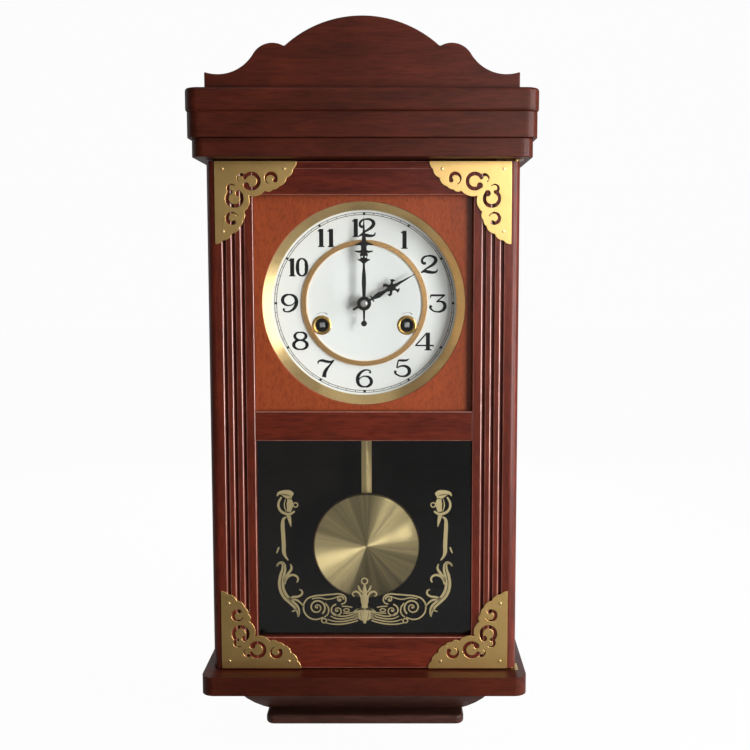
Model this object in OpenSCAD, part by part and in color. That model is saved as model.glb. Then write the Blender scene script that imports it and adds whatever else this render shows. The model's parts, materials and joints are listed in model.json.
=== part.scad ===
// Spring-driven pendulum wall clock that strikes the hours, in a wooden case with one tall glazed door.
// X runs to the right, Y runs back to the wall and Z runs up.
// The origin is the centre of the hanging hole, in the plane of the wall.
// Depths are given as distances out from the wall, heights as distances up from the lowest board.

/* [Stack of the case, from the bottom up] */
// Height of the lowest board
plinth_h = 9; // [6:0.5:14]
// Height of the moulding under the base board
under_h = 29; // [20:0.5:36]
// Height of the base board
base_h = 17.6; // [14:0.2:22]
// Height of the door
door_h = 472.8; // [460:0.2:500]
// Gap above and below the door
door_gap = 1.5; // [1:0.1:2.5]
// Height of the cornice board over the door
cornice_lower_h = 16.6; // [14:0.2:20]
// Height of the middle cornice board
cornice_middle_h = 22; // [16:0.5:28]
// Height of the top cornice board
cornice_top_h = 20.7; // [16:0.1:28]

/* [Widths of the case] */
// Width of the lowest board
plinth_w = 188.8; // [160:0.2:230]
// Width of the moulding under the base board, at its top
under_w = 236; // [210:1:270]
// How much narrower each side of that moulding is at its bottom
under_taper = 26; // [16:0.5:34]
// Width of the base board
base_w = 303; // [290:0.5:320]
// Width across the outsides of the side panels
case_w = 278; // [270:0.5:284]
// Width of the cornice board over the door
cornice_lower_w = 303.6; // [290:0.1:306]
// Width of the top cornice board
cornice_top_w = 312; // [300:0.5:330]
// How far the middle cornice board stands in from the top one at each side
cornice_step = 1; // [0:0.5:4]
// Radius of the boards' front corners, seen from above
board_corner_r = 12; // [6:0.5:18]
// Radius of the lowest board's front corners
plinth_corner_r = 8; // [4:0.5:14]

/* [Depths of the case, out from the wall] */
// Depth of the lowest board
plinth_d = 106; // [95:0.5:110]
// Depth of the moulding under the base board, at its top
under_d = 113; // [104:0.5:120]
// How far that moulding draws back at its bottom
under_back = 24; // [14:0.5:30]
// Depth of the base board
base_d = 131; // [122:0.5:140]
// Depth to the door's front face
door_front = 110; // [108:0.2:116]
// Depth of the cornice board over the door
cornice_lower_d = 134.5; // [126:0.5:140]
// Depth of the middle cornice board
cornice_middle_d = 139; // [130:0.5:146]
// Depth of the top cornice board
cornice_top_d = 141; // [134:0.5:150]
// Thickness of the back board
back_t = 6; // [4:0.5:8]
// Thickness of the side panels
side_t = 10; // [8:0.5:12]
// Gap between the side panels and the closed door
door_clear = 0.7; // [0.5:0.1:1.2]

/* [Pediment] */
// Width of the pediment
pediment_w = 278.6; // [270:0.2:290]
// Depth of the pediment's front face
pediment_d = 128; // [120:0.5:132]
// Thickness of the pediment
pediment_t = 15; // [10:0.5:20]
// Height of the pediment at its middle
pediment_h = 63.4; // [58:0.2:70]
// Radius of the dome of the pediment
dome_r = 102.9; // [98:0.1:110]
// Radius of the shoulders beside the dome
shoulder_r = 20; // [16:0.5:22]
// Distance of the shoulders' centres from the middle
shoulder_x = 79; // [74:0.5:84]
// Height of the shoulders' centres
shoulder_z = 20.1; // [18:0.1:22]
// Radius of the hollow beside each shoulder
hollow_r = 37; // [34:0.5:40]
// Distance of the hollows' centres from the middle
hollow_x = 127.5; // [125:0.5:131]
// Height of the hollows' centres
hollow_z = 50; // [47:0.5:53]

/* [Door] */
// Width of the door
door_w = 285.6; // [280:0.2:290]
// Thickness of the door
door_t = 18; // [16:0.2:20]
// Width of both window openings
window_w = 200.6; // [180:0.2:204]
// Height of the top rail
top_rail_h = 30.4; // [26:0.2:36]
// Height of the dial window
dial_window_h = 197.8; // [194:0.2:202]
// Height of the middle rail
middle_rail_h = 27.5; // [22:0.5:34]
// Height of the bottom rail
bottom_rail_h = 30.1; // [26:0.1:36]
// Radius of the door's rounded long edges
door_edge_r = 8.2; // [5:0.2:9]
// Width of the rebate that holds the panel and the glass
rebate_w = 6; // [5:0.5:7]
// Thickness of the lip in front of the rebate
lip_t = 7; // [6:0.5:8]
// Thickness of the panel round the dial
panel_t = 4; // [3:0.5:4.5]
// Thickness of both glasses
glass_t = 2; // [2:0.5:2.5]
// Radius of the round hole in the panel
panel_hole_r = 93.6; // [88:0.2:95]
// Gap round the panel and the glasses in their rebate
rebate_gap = 0.3; // [0.2:0.1:0.5]
// Number of flutes on each stile
flute_count = 3; // [1:1:3]
// Distance from the opening to the middle of the first flute
flute_first = 9.9; // [9:0.1:11]
// Distance between flutes
flute_pitch = 8.3; // [7:0.1:9]
// Width of a flute at the face
flute_w = 3.2; // [2:0.1:4]
// Depth of a flute
flute_depth = 2.6; // [1.5:0.1:3.5]
// Radius of the hinge pins
hinge_pin_r = 2; // [1.5:0.1:2.5]
// Distance from the door's edge to the hinge pins' axis
hinge_inset = 3.3; // [3:0.1:4]
// Length of each hinge pin outside the door
hinge_pin_out = 6; // [4:0.5:8]

/* [Corner brackets] */
// Length of each leg of a bracket
bracket_leg = 74.7; // [70:0.1:78]
// Thickness of the brass sheet
bracket_t = 1; // [0.8:0.1:1.5]
// Distance of the corner pin from both edges
bracket_pin_in = 7; // [6:0.5:9]
// Distance of the end pins from the corner along a leg
bracket_pin_far = 63; // [58:0.5:64]
// Radius of a pin's shank
nail_r = 0.6; // [0.5:0.1:0.8]
// Radius of a pin's head
nail_head_r = 1.7; // [1.2:0.1:2.2]

/* [Dial and hands] */
// Height of the dial's centre above the bottom of the dial window
dial_up = 99.1; // [98:0.1:100]
// Radius of the white dial inside the brass ring
dial_r = 86.6; // [80:0.2:88]
// Thickness of the dial plate
dial_t = 0.8; // [0.6:0.1:1]
// Outer radius of the inner brass ring
ring_r = 59.3; // [56:0.1:62]
// Width of the inner brass ring
ring_w = 5; // [4:0.2:6]
// Height of the inner brass ring over the dial
ring_h = 1.6; // [1:0.1:2]
// Distance of the winding holes from the middle
winding_x = 40; // [39:0.2:42]
// Distance of the winding holes below the dial's centre
winding_drop = 20.6; // [20:0.2:22]
// Outer radius of a winding hole's grommet
grommet_r = 9.15; // [8.5:0.05:9.5]
// Radius of the hole in a grommet
grommet_hole_r = 6.2; // [5.5:0.1:6.5]
// Length of the minute hand
minute_hand_len = 79; // [74:0.5:82]
// Length of the hour hand
hour_hand_len = 55; // [48:0.5:57]
// Radius of the hands' hubs
hand_hub_r = 6.6; // [6:0.1:8]
// Thickness of the hands
hand_t = 0.6; // [0.4:0.1:0.8]
// Time that the hour hand shows at rest, with the minute hand at twelve
hour_shown = 2; // [1:1:12]

/* [Pendulum] */
// Height of the pendulum's bending point over the dial's centre
pallet_up = 33; // [32.5:0.1:34]
// Distance from the bending point to the bob's centre
bob_drop = 278.6; // [260:0.2:280]
// Radius of the bob
bob_r = 54; // [44:0.5:56]
// Thickness of the bob
bob_t = 6.6; // [5:0.2:9]
// Width of the pendulum rod
rod_w = 10.2; // [8:0.2:14]
// Thickness of the pendulum rod
rod_t = 1.6; // [1.2:0.1:2]
// Depth of the pendulum's plane
pendulum_d = 27.5; // [26.5:0.1:28]

/* [Movement] */
// Distance of the movement's back plate from the wall
back_plate_d = 34; // [33.5:0.1:34.5]
// Thickness of both plates
plate_t = 2; // [1.5:0.1:2]
// Space between the plates
plate_gap = 33; // [33:0.1:34]
// Half the width of the plates
plate_half_w = 66; // [65:0.5:70]
// Reach of the plates above the dial's centre
plate_up = 50; // [50:0.5:54]
// Reach of the plates below the dial's centre
plate_down = 62; // [61:0.5:66]
// Radius of the pillars between the plates
pillar_r = 3.5; // [3:0.1:3.9]
// Radial clearance of every pivot and bush
pivot_gap = 0.05; // [0.03:0.01:0.08]
// Radial clearance of parts that are fixed to each other
seat_gap = 0.02; // [0.01:0.01:0.05]
// Radius of the barrels' drums
drum_r = 34; // [30:0.5:34.5]
// Radius of the mainsprings' coils
spring_r = 32; // [26:0.5:32]
// Radius of the ratchet wheels
ratchet_r = 12; // [10:0.2:13]
// Side of the winding squares
square_w = 4.3; // [3.5:0.1:5]
// Radius of the escape wheel
escape_r = 10; // [9:0.1:10.2]
// Teeth of the escape wheel
escape_teeth = 40; // [30:1:40]

/* [Gong] */
// Radius of the gong rods
gong_rod_r = 2.5; // [2:0.1:3]
// Length of the gong rods below their block
gong_rod_len = 200; // [160:1:205]
// Distance of the gong rods from the middle
gong_x = 72; // [71:0.5:76]
// Height of the gong block's bottom above the middle of the dial
gong_up = 99; // [95:1:104]
// How far each gong rod sits in its block
gong_seat = 12; // [8:0.5:14]
// Radius of the hammer's head
hammer_r = 7.5; // [6:0.1:7.5]

/* [Hanging] */
// Radius of the hanging hole
hang_r = 5; // [3:0.1:6]
// Depth of the hanging hole
hook_depth = 16; // [10:0.5:24]
// Height of the hanging hole above the door's top
hang_up = 28; // [24:0.5:40]
// Thickness of the hanger plate
hanger_t = 2; // [1.5:0.1:2.5]

/* [Hidden] */
base_z = plinth_h + under_h;
case_z = base_z + base_h;
door_z = case_z + door_gap;
door_top_z = door_z + door_h;
cornice_z = door_top_z + door_gap;
middle_z = cornice_z + cornice_lower_h;
top_z = middle_z + cornice_middle_h;
pediment_z = top_z + cornice_top_h;
hang_z = door_top_z + hang_up;

door_back = door_front - door_t;
case_d = door_back - door_clear;
panel_front = door_front - lip_t;
pendulum_window_h = door_h - top_rail_h - dial_window_h - middle_rail_h - bottom_rail_h;
pendulum_window_z = door_z + bottom_rail_h;
dial_window_z = pendulum_window_z + pendulum_window_h + middle_rail_h;
dial_z = dial_window_z + dial_up;
flat_half_w = door_w / 2 - door_edge_r;
hinge_x = door_w / 2 - hinge_inset;
hinge_d = door_front - door_edge_r;

front_plate_d = back_plate_d + plate_t + plate_gap;
plate_front = front_plate_d + plate_t;
dial_board_t = 6;
dial_board_d = plate_front + 5.2;
dial_d = dial_board_d + dial_board_t;
dial_front = dial_d + dial_t;
dial_board_hole_r = 28;
dial_plate_r = 97;

// Gear modules and tooth counts, from the barrels to the escape wheel
barrel_m = 0.75;
barrel_teeth = 96;
barrel_pinion = 8;
inter_m = 0.6;
inter_teeth = 60;
centre_pinion = 10;
centre_m = 0.5;
centre_teeth = 70;
third_pinion = 8;
third_m = 0.45;
third_teeth = 70;
escape_pinion = 7;
hour_m = 0.5;
hour_teeth = 40;
minute_pinion = 10;
minute_teeth = 36;
cannon_teeth = 12;
motion_distance = gear_distance(hour_m, hour_teeth, minute_pinion);
minute_m = motion_distance * 2 / (minute_teeth + cannon_teeth);
strike_m = 0.5;
strike_teeth = 56;
fly_pinion = 7;
ratchet_teeth = 20;

// Places of the arbors, right of and above the dial's centre
centre_p = [0, 0];
time_p = [winding_x, -winding_drop];
strike_p = [-winding_x, -winding_drop];
pallet_p = [0, pallet_up];
escape_p = [0, pallet_up - 12.5];
inter_p = meet(centre_p, gear_distance(inter_m, inter_teeth, centre_pinion),
               time_p, gear_distance(barrel_m, barrel_teeth, barrel_pinion), 1);
third_p = meet(centre_p, gear_distance(centre_m, centre_teeth, third_pinion),
               escape_p, gear_distance(third_m, third_teeth, escape_pinion), 1);
minute_p = [0, -motion_distance];
strike_wheel_p = strike_p + polar(gear_distance(barrel_m, barrel_teeth, barrel_pinion), 100);
fly_p = strike_wheel_p + polar(gear_distance(strike_m, strike_teeth, fly_pinion), 60);
hammer_p = [-60, 28];
pillar_x = plate_half_w - 6;
pillar_up = plate_up - 6;
pillar_down = plate_down - 6;
pillar_places = [[-pillar_x, pillar_up], [pillar_x, pillar_up],
                 [-pillar_x, -pillar_down], [pillar_x, -pillar_down]];
pillar_stud_r = 2;
time_click_p = time_p + polar(ratchet_r + 6.5, 60);
strike_click_p = strike_p + polar(ratchet_r + 6.5, 120);

// Radii of the arbors and their pivots
pivot_r = 0.8;
arbor_r = 1.2;
centre_arbor_r = 1.5;
winding_r = 3;
stud_r = 1.2;

// Depths of the wheels between and before the plates
inter_wheel_d = back_plate_d + plate_t + 2;
inter_wheel_t = 1.8;
barrel_d = back_plate_d + plate_t + 5;
barrel_gear_t = 3;
drum_floor = 1.5;
drum_front = barrel_d + 19;
cover_t = 1.2;
escape_room = 14;
escape_wheel_d = back_plate_d + plate_t + escape_room;
escape_wheel_t = 1.2;
third_wheel_d = front_plate_d - 6.4;
third_wheel_t = 1.2;
centre_wheel_d = front_plate_d - 3;
centre_wheel_t = 1.5;
strike_wheel_d = front_plate_d - 6.5;
strike_wheel_t = 1.5;
fly_room = 12;
fly_d = back_plate_d + plate_t + fly_room;
ratchet_d = plate_front + 0.5;
ratchet_t = 2;
minute_wheel_d = plate_front + 2;
minute_wheel_t = 1.5;
hour_wheel_d = plate_front + 4.8;
hour_wheel_t = 1.5;
hour_hand_d = dial_front + 6;
minute_hand_d = hour_hand_d + 4;
cannon_r = 2.6;
hour_pipe_r = 4;
nut_t = 2;

hammer_stem_d = back_plate_d - 8.5;
bob_z = dial_z + pallet_up - bob_drop;
strap_top = 30;
strap_bottom = 40;
rating_nut_r = 5;
rating_nut_t = 4;
gong_z = dial_z + gong_up;
cornice_middle_w = cornice_top_w - 2 * cornice_step;

smooth = 64;

function gear_distance(m, a, b) = m * (a + b) / 2;
function polar(r, a) = [r * cos(a), r * sin(a)];

// The point that lies ra from a and rb from b, on the left of the way from a to b if side is 1
function meet(a, ra, b, rb, side) =
    let (d = norm(b - a), u = (b - a) / d)
    let (along = (ra * ra - rb * rb + d * d) / (2 * d))
    let (off = side * sqrt(ra * ra - along * along))
    a + u * along + [-u[1], u[0]] * off;

// Moves a shape from heights above the lowest board to the frame of the hanging hole
module hung() {
    translate([0, 0, -hang_z]) children();
}

// Turns a flat shape's up towards Z and its thickness out from the wall, from a depth
module outward(depth, z = 0) {
    translate([0, -depth, z]) rotate([90, 0, 0]) children();
}

// The same, at an arbor's place beside the dial's centre
module on_arbor(p, depth) {
    hung() translate([p[0], 0, p[1]]) outward(depth, dial_z) children();
}

// A box from its lowest and highest corner, with depths in place of Y
module block(x0, x1, d0, d1, z0, z1) {
    translate([x0, -d1, z0]) cube([x1 - x0, d1 - d0, z1 - z0]);
}

// A board's outline from above, with rounded front corners
module board_outline(w, d, back, r) {
    translate([-w / 2, r - d]) square([w, d - r - back]);
    translate([r - w / 2, -d]) square([w - 2 * r, r]);
    for (side = [-1, 1]) {
        translate([side * (w / 2 - r), r - d]) circle(r, $fn = smooth);
    }
}

module board(w, d, back, r, z, h) {
    translate([0, 0, z]) linear_extrude(h) board_outline(w, d, back, r);
}

// Wood screw with a sunk head at depth 0, pointing out from the wall
module sunk_screw(shank_r, head_r, len, gap = 0) {
    rotate_extrude($fn = smooth)
    polygon([[0, 0], [head_r + gap, 0], [shank_r + gap, head_r - shank_r],
             [shank_r + gap, len + gap], [0, len + gap]]);
}

screw_places = [[-14, hang_z], [14, hang_z], [-gong_x - 6, gong_z + 10], [-gong_x + 6, gong_z + 10]];
screw_r = 1.5;
screw_head_r = 3;
screw_len = 14;

module screw_set(gap = 0) {
    for (p = screw_places) {
        translate([p[0], 0, 0]) outward(0, p[1]) sunk_screw(screw_r, screw_head_r, screw_len, gap);
    }
}

hanger_w = 40;
hanger_h = 24;
hanger_pocket = 0.1;

module hanger_plate() {
    color("silver") hung() difference() {
        outward(0, hang_z) difference() {
            translate([-hanger_w / 2, -hanger_h / 2]) cube([hanger_w, hanger_h, hanger_t]);
            translate([0, 0, -1]) cylinder(h = hanger_t + 2, r = hang_r, $fn = smooth);
        }
        screw_set(seat_gap);
    }
}

module case_screws() {
    color("goldenrod") hung() screw_set();
}

module back_board() {
    color("#2b1512") hung() difference() {
        block(-case_w / 2, case_w / 2, 0, back_t, base_z, pediment_z);
        block(-hanger_w / 2 - hanger_pocket, hanger_w / 2 + hanger_pocket, -1, hanger_t,
              hang_z - hanger_h / 2 - hanger_pocket, hang_z + hanger_h / 2 + hanger_pocket);
        hook_room();
        screw_set(seat_gap);
    }
}

// The hanging hole goes on through the back board and into the cornice, for the wall hook's end
module hook_room() {
    outward(-1, hang_z) cylinder(h = hook_depth + 1, r = hang_r, $fn = smooth);
}

module magnet_place(gap = 0) {
    outward(case_d - 8, magnet_z) translate([side_t / 2 - case_w / 2, 0, 0])
    cylinder(h = 8 + gap, r = 3 + gap, $fn = smooth);
}

magnet_z = door_z + door_h / 2;

module side_panels() {
    color("#4a241c") hung() difference() {
        for (side = [-1, 1]) {
            block(side < 0 ? -case_w / 2 : case_w / 2 - side_t,
                  side < 0 ? side_t - case_w / 2 : case_w / 2,
                  back_t, case_d, case_z, cornice_z);
        }
        magnet_place(seat_gap);
    }
}

module catch_magnet() {
    color("dimgray") hung() magnet_place();
}

module catch_plate() {
    color("silver") hung() outward(door_back - 0.5, magnet_z)
    translate([side_t / 2 - case_w / 2, 0, 0]) cylinder(h = 0.5, r = 4, $fn = smooth);
}

// A hinge plate let into a board over or under the door, with the hole for the door's pin
hinge_plate_t = 1.5;
hinge_plate_w = 24;
hinge_plate_front = 9;

module hinge_pocket(up, gap = 0) {
    z = up ? cornice_z : case_z;
    block(hinge_x - hinge_plate_w + 6 - gap, hinge_x + 6 + gap,
          hinge_d - hinge_plate_front - gap, hinge_d + hinge_plate_front + gap,
          up ? z - 1 : z - hinge_plate_t, up ? z + hinge_plate_t : z + 1);
}

module hinge_hole(up, r) {
    z = up ? cornice_z - 1 : case_z - hinge_pin_out;
    translate([hinge_x, -hinge_d, z]) cylinder(h = hinge_pin_out + 1, r = r, $fn = smooth);
}

module hinge_plates() {
    color("goldenrod") hung() for (up = [true, false]) {
        difference() {
            intersection() {
                hinge_pocket(up);
                block(-case_w, case_w, 0, 2 * door_front, up ? cornice_z : case_z - hinge_plate_t,
                      up ? cornice_z + hinge_plate_t : case_z);
            }
            hinge_hole(up, hinge_pin_r + pivot_gap);
        }
    }
}

module hinge_pins() {
    inside = 12;
    color("goldenrod") hung() for (up = [true, false]) {
        z = up ? door_top_z - inside : door_z - hinge_pin_out;
        translate([hinge_x, -hinge_d, z])
        cylinder(h = inside + hinge_pin_out, r = hinge_pin_r, $fn = smooth);
    }
}

module base_board() {
    color("#5a2a20") hung() difference() {
        board(base_w, base_d, back_t, board_corner_r, base_z, base_h);
        hinge_pocket(false, seat_gap);
        hinge_hole(false, hinge_pin_r + 1);
    }
}

// Front or side view of the moulding: wide at its top and drawn in below by a gentle curve
module under_profile(low, high, low_taper, high_taper) {
    steps = [[1, 0], [0.72, 0.17], [0.45, 0.37], [0.2, 0.6], [0, 0.84], [0, 1]];
    polygon(concat([for (s = steps) [high - s[0] * high_taper, s[1] * under_h]],
                   [for (i = [len(steps) - 1 : -1 : 0])
                    [low + steps[i][0] * low_taper, steps[i][1] * under_h]]));
}

module under_moulding() {
    color("#3a1c16") hung() translate([0, 0, plinth_h]) intersection() {
        translate([-under_w / 2, 0, 0]) rotate([90, 0, 90]) linear_extrude(under_w)
        under_profile(-under_d, 0, under_back, 0);
        rotate([90, 0, 0]) linear_extrude(under_d)
        under_profile(-under_w / 2, under_w / 2, under_taper, under_taper);
    }
}

module plinth_board() {
    color("#3a1c16") hung() board(plinth_w, plinth_d, 0, plinth_corner_r, 0, plinth_h);
}

module cornice_lower_board() {
    color("#4a241c") hung() difference() {
        board(cornice_lower_w, cornice_lower_d, back_t, board_corner_r, cornice_z, cornice_lower_h);
        hinge_pocket(true, seat_gap);
        hinge_hole(true, hinge_pin_r + 1);
    }
}

module cornice_middle_board() {
    color("#4a241c") hung() difference() {
        board(cornice_middle_w, cornice_middle_d, back_t, board_corner_r, middle_z, cornice_middle_h);
        hook_room();
        screw_set(seat_gap);
    }
}

module cornice_top_board() {
    color("#4a241c") hung()
    board(cornice_top_w, cornice_top_d, back_t, board_corner_r, top_z, cornice_top_h);
}

// Pediment outline: a dome between two shoulders, each running down a hollow to the end
module pediment_outline() {
    dome_z = pediment_h - dome_r;
    wing_z = shoulder_z + 10.5;
    fill_x = shoulder_x + shoulder_r * 0.85;
    intersection() {
        translate([0, dome_z]) circle(dome_r, $fn = 4 * smooth);
        translate([-dome_r, 0]) square([2 * dome_r, pediment_h + 1]);
    }
    translate([-fill_x, 0]) square([2 * fill_x, shoulder_z + 5]);
    for (side = [-1, 1]) {
        translate([side * shoulder_x, shoulder_z]) circle(shoulder_r, $fn = smooth);
        difference() {
            translate([side < 0 ? -pediment_w / 2 : fill_x - 6, 0])
            square([pediment_w / 2 - fill_x + 6, wing_z]);
            translate([side * hollow_x, hollow_z]) circle(hollow_r, $fn = 2 * smooth);
        }
    }
}

module pediment() {
    color("#4a241c") hung() outward(pediment_d - pediment_t, pediment_z)
    linear_extrude(pediment_t) pediment_outline();
}

// Right stile from above: rounded outer edge, flutes in the face and a rebate for the glass
module stile_outline() {
    r = door_edge_r;
    difference() {
        union() {
            translate([window_w / 2, -door_front]) square([(door_w - window_w) / 2 - r, door_t]);
            translate([door_w / 2 - r - 0.01, r - door_front]) square([r + 0.01, door_t - r]);
            translate([door_w / 2 - r, r - door_front]) circle(r, $fn = smooth);
        }
        translate([window_w / 2 - 1, -panel_front]) square([rebate_w + 1, door_t]);
        for (i = [0 : flute_count - 1]) {
            translate([window_w / 2 + flute_first + i * flute_pitch, -door_front])
            polygon([[-flute_w / 2, -1], [-flute_w / 2, 0], [-flute_w / 5, flute_depth],
                     [flute_w / 5, flute_depth], [flute_w / 2, 0], [flute_w / 2, -1]]);
        }
        translate([door_w / 2 - 1.5, -door_back]) rotate(-45) translate([0, -0.01]) square([4, 4]);
    }
}

// Holes for the bracket pins in whatever part of the door they reach
nail_len = 6;

module nail_holes() {
    for (p = nail_places()) {
        outward(door_front - nail_len, 0) translate([p[0], p[1], -1])
        cylinder(h = nail_len + 2, r = nail_r + seat_gap, $fn = smooth);
    }
}

function nail_places() = [
    for (sx = [-1, 1], up = [false, true], q = [[bracket_pin_in, bracket_pin_in],
         [bracket_pin_far, bracket_pin_in], [bracket_pin_in, bracket_pin_far]])
    [sx * (flat_half_w - q[0]), up ? door_top_z - q[1] : door_z + q[1]]];

module stile(side) {
    difference() {
        mirror([side < 0 ? 1 : 0, 0, 0]) translate([0, 0, door_z])
        linear_extrude(door_h) stile_outline();
        nail_holes();
        if (side > 0) {
            for (up = [true, false]) {
                translate([hinge_x, -hinge_d, up ? door_top_z - 12 : door_z - 1])
                cylinder(h = 13, r = hinge_pin_r + seat_gap, $fn = smooth);
            }
        }
    }
}

module door_left_stile() {
    color("#6b2f24") hung() stile(-1);
}

module door_right_stile() {
    color("#6b2f24") hung() stile(1);
}

// A rail between the stiles, with a tongue behind their lips and rebates towards the windows
module rail(z, h, low_rebate, high_rebate) {
    difference() {
        union() {
            block(-window_w / 2, window_w / 2, panel_front, door_front, z, z + h);
            block(-window_w / 2 - rebate_w, window_w / 2 + rebate_w, door_back, panel_front,
                  z + low_rebate, z + h - high_rebate);
        }
        nail_holes();
    }
}

module door_top_rail() {
    color("#6b2f24") hung() rail(dial_window_z + dial_window_h, top_rail_h, rebate_w, 0);
}

module door_middle_rail() {
    color("#6b2f24") hung() rail(dial_window_z - middle_rail_h, middle_rail_h, rebate_w, rebate_w);
}

module door_bottom_rail() {
    color("#6b2f24") hung() rail(door_z, bottom_rail_h, 0, rebate_w);
}

// A sheet that fills a window's rebate
module window_sheet(z, h, d, t) {
    reach = rebate_w - rebate_gap;
    block(-window_w / 2 - reach, window_w / 2 + reach, d, d + t, z - reach, z + h + reach);
}

module dial_surround_panel() {
    color("#8a3f26") hung() difference() {
        window_sheet(dial_window_z, dial_window_h, panel_front - panel_t, panel_t);
        outward(panel_front - panel_t - 1, dial_z)
        cylinder(h = panel_t + 2, r = panel_hole_r, $fn = 4 * smooth);
    }
}

dial_glass_d = panel_front - panel_t - glass_t;

module dial_glass() {
    color("lightblue", 0.3) hung()
    window_sheet(dial_window_z, dial_window_h, dial_glass_d, glass_t);
}

module pendulum_glass() {
    color("lightblue", 0.3) hung()
    window_sheet(pendulum_window_z, pendulum_window_h, panel_front - glass_t, glass_t);
}

bead_w = 5;

// Four strips that hold a glass from behind
module bead_frame(z, h, d) {
    reach = rebate_w - rebate_gap;
    for (side = [-1, 1]) {
        x = side * (window_w / 2 + reach - bead_w / 2);
        block(x - bead_w / 2, x + bead_w / 2, door_back + 0.3, d, z - reach, z + h + reach);
    }
    for (low = [z - reach, z + h + reach - bead_w]) {
        block(bead_w - reach - window_w / 2, window_w / 2 + reach - bead_w, door_back + 0.3, d,
              low, low + bead_w);
    }
}

module glass_beads() {
    color("#4a241c") hung() {
        bead_frame(dial_window_z, dial_window_h, dial_glass_d);
        bead_frame(pendulum_window_z, pendulum_window_h, panel_front - glass_t);
    }
}

// A pierced scroll: part of a band round a centre, with a round eye at its end. With a taper the
// band narrows to where it starts
module scroll(c, r, w, from, to, eye_r, taper) {
    wedge = [for (i = [0 : 8]) polar(2 * r, from + (to - from) * i / 8)];
    end_r = w * (1 - taper) / 2;
    translate(c) {
        intersection() {
            difference() {
                circle(r, $fn = smooth);
                translate(polar(w * taper / 2, from)) circle(r - w * (1 - taper / 2), $fn = smooth);
            }
            polygon(concat([[0, 0]], wedge));
        }
        translate(polar(r - end_r, from)) circle(end_r + 0.15, $fn = 32);
        translate(polar(r - eye_r + 0.3, to)) circle(eye_r, $fn = 32);
    }
}

// The bracket's scalloped edge along one leg: the corners between its lobes, from the leg's tip to
// the corner between both legs, and how far each lobe bulges out
scallops = [[74.7, 0], [71.4, 7.1], [65.4, 15], [58.7, 22.6], [52.6, 25.6], [45.6, 26.5], [31.1, 31.1]];
bulges = [1, 1.7, 1.7, 0.9, 1.5, 2.5];

module bracket_leg_holes() {
    scroll([33.5, 18], 8.4, 3.2, -150, 140, 2.7, 0);
    scroll([24.7, 15.3], 4.3, 2.6, -230, -45, 1.3, 0.8);
    scroll([51.4, 15.3], 5.8, 3.2, -243, 27, 1.95, 0.8);
}

module bracket_leg_lobes() {
    for (i = [0 : len(bulges) - 1]) {
        a = scallops[i];
        b = scallops[i + 1];
        half = norm(b - a) / 2;
        r = (half * half + bulges[i] * bulges[i]) / (2 * bulges[i]);
        inward = [a[1] - b[1], b[0] - a[0]] / (2 * half);
        translate((a + b) / 2 + inward * (r - bulges[i])) circle(r, $fn = smooth);
    }
}

module bracket_flat() {
    inner = [for (corner = scallops) 0.97 * corner];
    turned = [for (i = [len(inner) - 2 : -1 : 0]) [inner[i][1], inner[i][0]]];
    difference() {
        scale(bracket_leg / scallops[0][0]) difference() {
            union() {
                polygon(concat([[0, 0]], inner, turned));
                bracket_leg_lobes();
                mirror([1, -1]) bracket_leg_lobes();
            }
            bracket_leg_holes();
            mirror([1, -1]) bracket_leg_holes();
        }
        translate([-20, -20]) square([120, 20]);
        translate([-20, -20]) square([20, 120]);
        for (q = [[bracket_pin_in, bracket_pin_in], [bracket_pin_far, bracket_pin_in],
                  [bracket_pin_in, bracket_pin_far]]) {
            translate(q) circle(nail_r + seat_gap, $fn = smooth);
        }
    }
}

module corner_brackets() {
    color("#c09a4a") hung() for (sx = [-1, 1], up = [false, true]) {
        outward(door_front, up ? door_top_z : door_z) translate([sx * flat_half_w, 0, 0])
        mirror([sx > 0 ? 1 : 0, 0, 0]) mirror([0, up ? 1 : 0, 0])
        linear_extrude(bracket_t) bracket_flat();
    }
}

module bracket_pins() {
    color("#c09a4a") hung() for (p = nail_places()) {
        outward(door_front - nail_len + 0.5, 0) translate([p[0], p[1], 0])
        rotate_extrude($fn = smooth)
        polygon([[0, 0], [nail_r, 0], [nail_r, nail_len - 0.5 + bracket_t],
                 [nail_head_r, nail_len - 0.5 + bracket_t],
                 [nail_head_r * 0.75, nail_len + bracket_t], [0, nail_len + bracket_t + 0.2]]);
    }
}

// The board inside the case that carries the dial and the movement
module dial_board() {
    low = dial_window_z - 8;
    color("#15110f") hung() difference() {
        block(side_t - case_w / 2, case_w / 2 - side_t, dial_board_d, dial_d, low, cornice_z);
        outward(dial_board_d - 1, dial_z) {
            cylinder(h = dial_board_t + 2, r = dial_board_hole_r, $fn = smooth);
            for (p = [time_p, strike_p]) {
                translate(p) cylinder(h = dial_board_t + 2, r = grommet_r + 1, $fn = smooth);
            }
            for (p = pillar_places) {
                translate(p) cylinder(h = dial_board_t + 2, r = pillar_stud_r + pivot_gap, $fn = smooth);
                translate([p[0], p[1], dial_board_t - 1.6]) cylinder(h = 4, r = 6, $fn = smooth);
            }
        }
    }
}

grommet_barrel_r = grommet_hole_r + 0.8;

module dial_plate() {
    color("#f2f2ec") hung() outward(dial_d, dial_z) linear_extrude(dial_t) difference() {
        circle(dial_plate_r, $fn = 4 * smooth);
        circle(hour_pipe_r + 1.5, $fn = smooth);
        for (p = [time_p, strike_p]) {
            translate(p) circle(grommet_barrel_r + seat_gap, $fn = smooth);
        }
    }
}

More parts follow.
